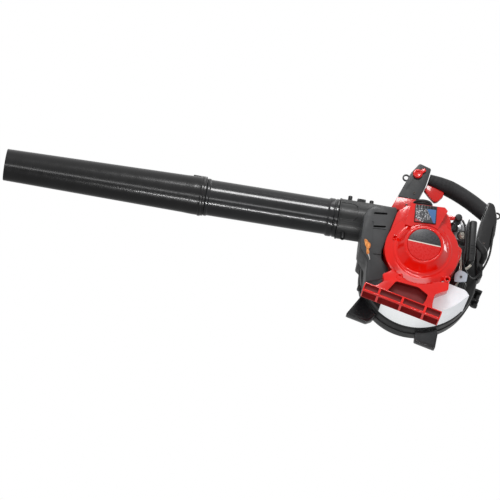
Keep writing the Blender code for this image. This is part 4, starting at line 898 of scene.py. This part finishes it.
def starter(f):
    """Dished starter housing with its ring, screw pockets, badge, reel, rope, guide and handle."""
    profile = mm_points(
        (0, -33), (34.6, -33), (35.6, -35), (38.8, -35), (41, -32.5), (52, -12), (55, -8.5), (58.5, -8.5),
        (61, -5.5), (74.5, 0), (76.7, 1.5), (76.7, 5), (73.5, 5), (73, 3.2), (60, -2), (53, -5), (49, -10),
        (38, -29), (35, -30.4), (9, -30.4), (9, -3.5), (5, -3.5), (5, 19), (0, 19))
    dish = turned("starter_dish", rounded_profile(profile, 1.8 * MM, 4), CRANK, ALONG_Y, f["red"], 160,
            50)
    stand_in(dish, "starter_housing")
    for name, x, z, radius in (("left", -61, 136, 5), ("low", -24, 59, 6.5), ("rear", 69, 91.5, 6.5)):
        boss = lathe(f"screw_boss_{name}", mm_points((0, 4), (radius, 4), (radius, -11), (3.8, -11),
                (3.4, 1), (0, 1)), 0.8, Vector((x, 0, z)) * MM, ALONG_Y, f["red"], 48)
        fixed(boss)
        screw(f"boss_screw_{name}", Vector((x, 0.8, z)) * MM, -ALONG_Y, 2.6 * MM, f["dark_steel"])
    badge = rod(34, -33.4, -34.2)
    stand_in(lathe("badge_plate", badge, 0.3, CRANK, ALONG_Y, f["badge"]), "starter_badge")
    bore, core, edge, near, far = 5.4, 26, 31, 5, 18.6
    reel = mm_points((bore, near), (edge, near), (edge, near + 2), (core, near + 4), (core, far - 4),
            (edge, far - 2), (edge, far), (bore, far))
    stand_in(lathe("reel_body", reel, 0.6, CRANK, ALONG_Y, f["black"]), "starter_reel")
    guide = mm_points((2.2, 76), (6, 76), (6, 88), (8, 88), (8, 91), (3.4, 91), (2.2, 89))
    stand_in(lathe("rope_guide_skin", guide, 0.5, rope_point(0), ROPE_AXIS, f["black"], 48), "rope_guide")
    rope = swept("starter_rope_skin", [rope_point(91.2 * MM * i / 60) for i in range(61)],
            lambda t: 1.8 * MM, f["rope"], 16)
    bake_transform(rope)
    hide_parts("starter_rope")
    stem = lathe("pull_stem", mm_points((0, 91.6), (6, 91.6), (7, 97), (7, 104), (0, 104)), 1,
            rope_point(0), ROPE_AXIS, f["black"], 48)
    bar_profile = mm_points((0, -17), (7, -17), (7.6, -12), (6.8, 0), (7.6, 12), (7, 17), (0, 17))
    bar = turned("pull_bar", rounded_profile(bar_profile, 3 * MM, 5), rope_point(103 * MM), ALONG_Y, None,
            48)
    stand_in(weld(stem, bar), "starter_handle")


def stand(f):
    """Red stand: bar with face and sole cells, and two splayed legs up to the housing."""
    low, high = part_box("stand")
    half, depth, height = high.x, high.y, 17 * MM
    bar = soften(block("stand_bar", (-half, -depth, 0), (half, depth, height), f["red"]), 1.4 * MM)
    legs = mm_points((-76, 15), (64, 15), (59, 30), (57, 50), (67, 60), (79, 70), (75, 86), (58, 80),
            (-40, 72), (-44, 64), (-57, 51), (-49, 38), (-59, 24))
    rise = slab("legs", legs, 3, -10 * MM, 16 * MM, None, 2)
    weld(bar, rise)
    window_line = rounded_loop(mm_points((-37, 17), (40, 17), (44, 30), (44, 44), (20, 52), (-26, 47)),
            3 * MM)
    # The faces that the window carves take the darker red: painted shade in the recess.
    window = plate("window", window_line, -0.05, 5 * MM, f["painted_shade_red"])
    rim = turned("rim", rod(RIM_R / MM + 0.4, -50, 50), CRANK, ALONG_Y, None, 128)
    carve(bar, window, rim)
    wall = 2.4 * MM
    edges = (-half, -50 * MM, 0, 49 * MM, half)
    cells = []
    # The faces that the cells carve take the darker red: painted shade inside the cells.
    for left, right in zip(edges, edges[1:]):
        low, high = (left + wall, -depth - 0.01, wall), (right - wall, -depth + 6 * MM, height - wall)
        cells.append(block("face_cell", low, high, f["painted_shade_red"]))
        low, high = (left + wall, -depth + 8.4 * MM, -0.01), (right - wall, depth - wall, 10 * MM)
        cells.append(block("sole_cell", low, high, f["painted_shade_red"]))
    carve(bar, *cells)
    stand_in(bar, "stand")


# ---------------------------------------------------------------- fuel and air
def fuel_tank(f):
    """Rounded crescent tank with its neck and the knurled cap."""
    low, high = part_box("fuel_tank")
    neck_at = Vector(JOINTS["cap_turn"]["pos_m"])
    top = neck_at.z

    def outline(inset):
        points = []
        first = 250 + inset / MM
        for i in range(41):
            degrees = first + (340 - first) * i / 40
            point = around_crank(scroll_radius(degrees) - 1.5 * MM - inset, degrees)
            points.append((point.x, point.z))
        corner = [points[-1], (124 * MM - inset, top - 9 * MM), (113.2 * MM - inset * 1.6, top - inset)]
        points += rounded_profile([*corner, (100 * MM, top - inset)], 12 * MM, 6)[1:-1]
        inner_r = 64 * MM + inset
        start = angle_at(inner_r, top - inset)
        for i in range(25):
            degrees = start + (first - 360 - start) * i / 24
            point = around_crank(inner_r, degrees)
            points.append((point.x, point.z))
        return points

    tank = soften(plate("fuel_tank_body", outline(0), low.y, high.y, f["tank"]), 11 * MM, 7, 50)
    weld(tank, turned("neck", rod(13, -4, 8), neck_at, UP, None, 64))
    hollow = plate("hollow", outline(3.2 * MM), low.y + 3.2 * MM, high.y - 3.2 * MM)
    bore = turned("bore", rod(10.5, -9, 20), neck_at, UP, None, 64)
    carve(tank, soften(hollow, 6 * MM, 3, 50), bore)
    stand_in(tank, "fuel_tank")
    cap = mm_points((0, 25), (12, 25), (16.5, 23), (17, 21), (17, 5), (18, 4), (13.4, 4), (13.4, 8.4),
            (0, 8.4))
    lid = lathe("fuel_cap_skin", cap, 0.8, neck_at, UP, f["black"], 64)
    ribs = []
    for i in range(18):
        place = spun(neck_at, i, 18, "Z")
        ribs.append(soften(block("rib", (16 * MM, -1.2 * MM, 5 * MM), (18 * MM, 1.2 * MM, 21.4 * MM),
                None, place), 0.5 * MM))
    ribs.append(soften(block("grip_bar", neck_at + mm_at(-13, -2.4, 24), neck_at + mm_at(13, 2.4, 28)),
            1 * MM))
    weld(lid, *ribs)
    stand_in(lid, "fuel_cap")
    line = smooth_path([mm_at(84, 92, 102), mm_at(86, 90, 124), mm_at(85, 78, 168),
            on_cylinder(48.4, 80, 2)], 14)
    stand_in(swept("fuel_line_skin", line, lambda t: 2.5 * MM, f["clear"], 20), "fuel_line")


def angle_at(radius, height):
    """Angle about the crankshaft, below the axis on its rear side, at a height."""
    drop = (height - CRANK_Z) / radius
    return atan2(drop, sqrt(1 - drop * drop)) * 180 / pi


def fuel_and_air(f):
    """Carburettor with its fittings and linkage, and the air cleaner."""
    place = cylinder_place()
    dress("insulator", f["black"], 1 * MM)
    dress("carburettor", f["aluminium"], 0.7 * MM)
    dress("choke_lever", f["red"], 0.7 * MM)
    dress("throttle_lever", f["steel"], 0.4 * MM)
    dress("filter_base", f["black"], 0.6 * MM)
    dress("filter_element", f["foam"], 1.5 * MM)
    primer_at = on_cylinder(61, 85, -17.4)
    dome = [(8 * MM * cos(radians(a)), 7 * MM * sin(radians(a))) for a in range(0, 90, 10)]
    stand_in(turned("primer_dome", [(0, 0), *dome, (0, 7 * MM)], primer_at, -ALONG_Y, f["clear"], 48),
            "primer_bulb")
    fixed(lathe("primer_ring", sleeve(8.5, 10.6, 0, 2), 0.4, primer_at, -ALONG_Y, f["black"], 48))
    low, high, side = 4 * MM, 95 * MM, 28 * MM
    cover_from, cover_to = 98.4 * MM, 114.4 * MM
    cover = soften(block("filter_cover_body", (cover_from, -side, low), (cover_to, side, high),
            f["black"], place), 5.5 * MM, 6)
    hollow = block("hollow", (cover_from - 10 * MM, 2.5 * MM - side, low + 2.5 * MM),
            (cover_to - 3 * MM, side - 2.5 * MM, high - 2.5 * MM), None, place)
    grooves = []
    for i in range(4):
        level = low + (14 + 6 * i) * MM
        grooves.append(block("vent", (104 * MM, -side - 0.01, level),
                (110 * MM, -side + 1.2 * MM, level + 2.4 * MM), None, place))
    carve(cover, hollow, *grooves)
    stand_in(cover, "filter_cover")
    knob_at = Vector(JOINTS["filter_knob_turn"]["pos_m"])
    knob = mm_points((0, 0), (9, 0), (9, 5), (7, 6), (0, 6))
    wheel = lathe("filter_knob_skin", knob, 1, knob_at, CYL_REAR, f["black"], 64)
    turn = cylinder_place(knob_at)
    notches = []
    for i in range(8):
        spin = turn @ Matrix.Rotation(2 * pi * i / 8, 4, "X")
        notches.append(block("notch", (1.5 * MM, -1.2 * MM, 8 * MM), (10 * MM, 1.2 * MM, 12 * MM), None,
                spin))
    carve(wheel, *notches)
    stand_in(wheel, "filter_knob")
    for i, (rear, rise) in enumerate(((66, 56), (91, 55), (91, 84))):
        screw(f"carburettor_screw_{i}", on_cylinder(rise, rear, -17), -ALONG_Y, 2.2 * MM, f["steel"])
    fittings(f)


def fittings(f):
    """Return spring, return line with its clip, drain stub, breather elbow and choke mouth."""
    coil = []
    for i in range(97):
        turn = radians(30 * i)
        at = on_cylinder(68 + 0.12 * i, 72, -20)
        coil.append(at + CYL_REAR * 3 * MM * cos(turn) + ALONG_Y * 2.2 * MM * sin(turn))
    fixed(swept("return_spring", coil, lambda t: 0.45 * MM, f["steel"], 8))
    hose = smooth_path([on_cylinder(50, 72, -12), on_cylinder(40, 74, -16), on_cylinder(20, 84, -20),
            mm_at(92, 44, 126), mm_at(88, 50, 99)], 10)
    fixed(swept("return_line", hose, lambda t: 2.4 * MM, f["clear"], 16))
    fan = mm_points((80, 127), (84, 111), (95, 114), (108, 120), (105, 137), (95, 139), (85, 138))
    fixed(slab("line_clip", fan, 3, 37 * MM, 40 * MM, f["pale"], 0.6))
    screw("clip_screw", mm_at(94, 37, 125), -ALONG_Y, 2.6 * MM, f["dark_steel"])
    stub = [mm_at(97, 42, 147), mm_at(101, 41, 152), mm_at(104, 41, 159)]
    fixed(swept("drain_stub", smooth_path(stub, 6), lambda t: 2.8 * MM, f["clear"], 16))
    snorkel = smooth_path([on_cylinder(54, 114, -10), mm_at(118, 58, 206), mm_at(124, 80, 204),
            mm_at(124, 104, 200)], 8)
    fixed(swept("breather_elbow", snorkel, lambda t: (8 - 2 * t) * MM, f["rubber"], 24))
    horn = mm_points((4, 0), (8, 0), (8, 8), (5.6, 8), (5.6, 1), (4, 1))
    mouth = on_cylinder(72, 66, -17)
    fixed(turned("choke_mouth", rounded_profile([*horn, horn[0]], 0.5 * MM)[:-1], mouth, -ALONG_Y,
            f["black"], 40))


# ---------------------------------------------------------------- handle and guard
def handle(f):
    """Post on its red base, ribbed grip, sculpted rear bracket, trigger, stop switch and cable."""
    near, far = HANDLE_LOW.y, HANDLE_HIGH.y
    case = [plate("case", scroll_outline(-0.4 * MM), CASE_NEAR - 0.4 * MM, CASE_FAR) for _ in range(2)]
    base_line = mm_points((-94, 250), (-48, 255), (-47.6, 288.6), (-90, 278.4))
    base = slab("handle_base_body", base_line, 1.6, near, far, f["red"], 2, 4)
    stand_in(carve(base, case[0], duct("duct", 42.9 * MM, -149.1 * MM, 0)), "handle_base")
    post_line = mm_points((-90, 279), (-47.6, 289.2), (-43, 337), (-45, 366), (-72, 368), (-82, 341))
    post = soften(plate("handle_post_body", rounded_loop(post_line, 4 * MM, 5), near, far, f["charcoal"]),
            4 * MM, 5)
    weld(post, eyelet(mm_at(-88, 0, 334) + ALONG_Y * HANDLE_Y))
    crease = mm_points((-80, 300), (-77, 299), (-69, 330), (-57, 350), (-59, 352), (-72, 332))
    stand_in(carve(post, slab("crease", crease, 1, near - 0.01, near + 0.8 * MM)), "handle_post")
    line = mm_points((92.4, 343), (104, 343), (110, 337), (123, 313), (130, 279), (130, 254), (127, 228),
            (129, 205), (137, 178), (128, 168), (117, 192), (110, 214), (102, 236), (96, 258), (94, 277),
            (92.4, 300))
    bracket = soften(plate("rear_bracket_body", rounded_loop(line, 6 * MM, 6), near, far,
            f["gloss_black"]), 4.5 * MM, 6)
    weld(bracket, eyelet(mm_at(120, 0, 327) + ALONG_Y * HANDLE_Y))
    stand_in(carve(bracket, case[1]), "rear_bracket")
    middle = [Vector((x * MM, HANDLE_Y, z * MM)) for x, z in ((-42, 346.5), (-18, 347.5), (6, 346),
            (33, 341.5), (62, 334), (98, 321.5))]
    path = smooth_path(middle, 56)

    def girth(t):
        ribbed = 0.3 * MM * abs(sin(pi * 44 * t))
        return (13.6 + 3.8 * min(1, 2.5 * t)) * MM + ribbed

    grip = swept("grip_body", path, girth, f["grip"], 48, 1.08)
    slot = block("slot", (-60 * MM, HANDLE_Y - 7 * MM, 300 * MM), (2 * MM, HANDLE_Y + 7 * MM, 352 * MM))
    stand_in(carve(grip, slot, block("grip_end", (92 * MM, 0.1, 0.25), (0.15, 0.19, 0.4))), "grip")
    trigger_line = mm_points((-40.5, 335), (-36, 338), (-2, 337), (-1, 322), (-8, 307), (-14, 303.2),
            (-27.6, 310), (-43.4, 320.5), (-42, 326))
    trigger = slab("trigger_body", trigger_line, 2.5, HANDLE_Y - 5.5 * MM, HANDLE_Y + 5.5 * MM, f["red"],
            1.4)
    stand_in(trigger, "throttle_trigger")
    stop_at = Vector(JOINTS["stop_turn"]["pos_m"])
    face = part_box("stop_switch")[0].y
    knob_at = Vector((stop_at.x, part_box("stop_switch")[1].y, stop_at.z))
    knob_line = mm_points((0, 0), (10, 0), (10, 5), (8.4, 6), (5, 6), (4.4, 5), (0, 5))
    knob = lathe("stop_body", knob_line, 0.7, knob_at, -ALONG_Y, f["red"], 64)
    arm = slab("arm", mm_points((-69, 348), (-61, 343), (-53, 356), (-59, 361)), 2.5, face + 2 * MM,
            face + 5.5 * MM)
    stand_in(weld(knob, soften(arm, 0.8 * MM)), "stop_switch")
    cable = [Vector(p) * MM for p in (
        (122, 122, 296), (127, 119, 268), (134, 117, 225), (131, 114, 190), (120, 102, 158),
        (100, 62, 150), (86, 31, 158), (79, 27, 190), (66, 32, 228), (56, 38, 244))]
    stand_in(swept("throttle_cable_skin", smooth_path(cable, 12), lambda t: 2.2 * MM, f["rubber"], 18),
            "throttle_cable")
    for i, (x, z) in enumerate(((-66, 268), (-60, 300))):
        screw(f"post_screw_{i}", Vector((x * MM, near, z * MM)), -ALONG_Y, 2.4 * MM, f["dark_steel"])
    screw("bracket_screw", Vector((114 * MM, near, 250 * MM)), -ALONG_Y, 2.4 * MM, f["dark_steel"])


def eyelet(at):
    """Thin loop for a shoulder strap."""
    path = []
    for i in range(41):
        turn = 2 * pi * i / 40
        path.append((at.x + 8 * MM * cos(turn), at.z + 8 * MM * sin(turn)))
    ring = plate("eyelet", path[:-1], at.y - 2 * MM, at.y + 2 * MM)
    hole = turned("hole", rod(4.8, -10, 10), at, ALONG_Y, None, 32)
    return soften(carve(ring, hole), 0.8 * MM)


def intake_guard(f):
    """Grille of rings and spokes on its hinge barrel."""
    near = 203
    ring = mm_points((68, near), (75, near), (75, near + 6), (70, near + 14), (66, near + 14))
    guard = turned("intake_guard_body", rounded_profile([*ring, ring[0]], 1 * MM)[:-1], CRANK, ALONG_Y,
            f["black"], 128)
    parts = [lathe("hub", rod(16, near + 8, near + 16), 1.5, CRANK, ALONG_Y)]
    for radius in (29, 42, 55):
        band = sleeve(radius - 1.3, radius + 1.3, near + 9.8, near + 13)
        parts.append(turned("band", band, CRANK, ALONG_Y))
    for i in range(24):
        place = spun(CRANK, i + 0.3, 24, "Y")
        parts.append(block("spoke", mm_at(13, near + 9.5, -1.3), mm_at(68.6, near + 13.3, 1.3), None,
                place))
    barrel = lathe("barrel", rod(6.5, -8.1, 8.1), 1, GUARD_PIN, UP, None, 48)
    arm = soften(block("arm", (64 * MM, (near + 0.3) * MM, GUARD_PIN.z - 6 * MM),
            (GUARD_PIN.x - 4 * MM, (near + 4.8) * MM, GUARD_PIN.z + 6 * MM)), 1 * MM)
    weld(guard, *parts, barrel, arm)
    carve(guard, turned("pin_hole", rod(3.4, -30, 30), GUARD_PIN, UP, None, 32))
    stand_in(guard, "intake_guard")


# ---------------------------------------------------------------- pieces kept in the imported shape
def dress_inside(f):
    """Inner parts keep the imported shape, with rounded edges and their finish."""
    finishes = {
        "aluminium": "crankcase piston",
        "steel": "crankshaft_front crankshaft_rear crank_pin conrod wrist_pin bearing_front bearing_rear "
                 "starter_cup starter_pawl recoil_spring spark_plug impeller_nut",
        "black": "ignition_coil guard_pin",
    }
    for finish, names in finishes.items():
        for node in names.split():
            dress(node, f[finish], 0.3 * MM, 2)


# ---------------------------------------------------------------- stage
def floor():
    """Pale floor that only the camera sees, and only from above."""
    made = Shade("studio_floor")
    made.surface(Base_Color=made.ramp(made.noise(3, 3), (0.3, (0.90,) * 3), (0.7, (0.94,) * 3)),
            Roughness=0.85)
    from_camera = made.node("LightPath").outputs["Is Camera Ray"]
    seen = made.nodes.new("ShaderNodeMath")
    seen.operation = "SUBTRACT"
    seen.use_clamp = True
    made.feed(seen.inputs[0], from_camera)
    made.feed(seen.inputs[1], made.node("NewGeometry").outputs["Backfacing"])
    mix = made.node("MixShader", Fac=seen.outputs["Value"])
    made.feed(mix.inputs[1], made.node("BsdfTransparent").outputs["BSDF"])
    made.feed(mix.inputs[2], made.bsdf.outputs["BSDF"])
    made.feed(made.nodes["Material Output"].inputs["Surface"], mix.outputs["Shader"])
    bm = bmesh.new()
    bmesh.ops.create_grid(bm, x_segments=1, y_segments=1, size=4.0)
    mesh = bpy.data.meshes.new("floor")
    bm.to_mesh(mesh)
    bm.free()
    mesh.materials.append(made.material)
    ground = bpy.data.objects.new("floor", mesh)
    ground.location = (0, 0, -1 * MM)
    bpy.context.scene.collection.objects.link(ground)


def surround():
    """White surround for the camera; as a light it is dimmer from below than from above."""
    world = bpy.data.worlds.new("studio")
    bpy.context.scene.world = world
    bpy.context.scene.view_settings.view_transform = "Standard"
    world.use_nodes = True
    nodes, links = world.node_tree.nodes, world.node_tree.links
    background = nodes["Background"]
    background.inputs["Color"].default_value = (1.0, 1.0, 1.0, 1.0)
    split = nodes.new("ShaderNodeSeparateXYZ")
    links.new(nodes.new("ShaderNodeTexCoord").outputs["Generated"], split.inputs["Vector"])
    rise = nodes.new("ShaderNodeMapRange")
    links.new(split.outputs["Z"], rise.inputs["Value"])
    for name, value in (("From Min", -0.5), ("From Max", 0.5), ("To Min", 0.26), ("To Max", 0.62)):
        rise.inputs[name].default_value = value
    level = nodes.new("ShaderNodeMix")
    links.new(nodes.new("ShaderNodeLightPath").outputs["Is Camera Ray"], level.inputs["Factor"])
    links.new(rise.outputs["Result"], level.inputs["A"])
    level.inputs["B"].default_value = 1.0
    links.new(level.outputs["Result"], background.inputs["Strength"])


def lamps():
    """Soft key from above, two strips below that draw the long glints, and two weak fills."""
    middle = Vector((-0.1, 0.05, 0.13))
    for name, place, wide, tall, power in (
            ("key", (-0.5, -1.5, 1.3), 0.6, 0.4, 13), ("low", (-0.3, -1.5, -0.62), 2.6, 0.22, 7),
            ("under", (0.0, -0.5, -0.95), 0.9, 0.03, 6), ("top", (-0.3, 0.1, 1.8), 1.6, 0.3, 3),
            ("rim", (0.9, 0.9, 1.2), 0.6, 0.6, 5)):
        data = bpy.data.lights.new(name, "AREA")
        data.shape = "RECTANGLE"
        data.size = wide
        data.size_y = tall
        data.energy = power
        lamp = bpy.data.objects.new(name, data)
        lamp.location = place
        lamp.rotation_euler = (middle - Vector(place)).to_track_quat("-Z", "Y").to_euler()
        bpy.context.scene.collection.objects.link(lamp)


def camera():
    """Long lens below and in front of the engine side, rolled so the tube rises to the left."""
    azimuth, elevation, roll = radians(3.87), radians(-20.69), radians(22.6)
    target, distance = Vector((-0.3326, 0.1, 0.0364)), 5.76
    forward = Vector((-sin(azimuth) * cos(elevation), cos(azimuth) * cos(elevation), -sin(elevation)))
    right = forward.cross(UP).normalized()
    up = right.cross(forward)
    side = right * cos(roll) + up * sin(roll)
    rise = up * cos(roll) - right * sin(roll)
    data = bpy.data.cameras.new("camera")
    data.lens = 200
    data.sensor_width = 36
    data.clip_end = 50
    eye = bpy.data.objects.new("camera", data)
    turn = Matrix((side, rise, -forward)).transposed().to_4x4()
    eye.matrix_world = Matrix.Translation(target - forward * distance) @ turn
    bpy.context.scene.collection.objects.link(eye)
    bpy.context.scene.camera = eye


def build():
    """Every visible piece, then the stage and the camera."""
    f = make_finishes()
    for make in (fan_case, feet, tube_and_nozzle, impeller, cylinder_parts, flywheel, muffler_parts,
            engine_cowl, starter, stand, fuel_tank, fuel_and_air, handle, intake_guard, dress_inside):
        make(f)
    floor()
    surround()
    lamps()
    camera()


build()
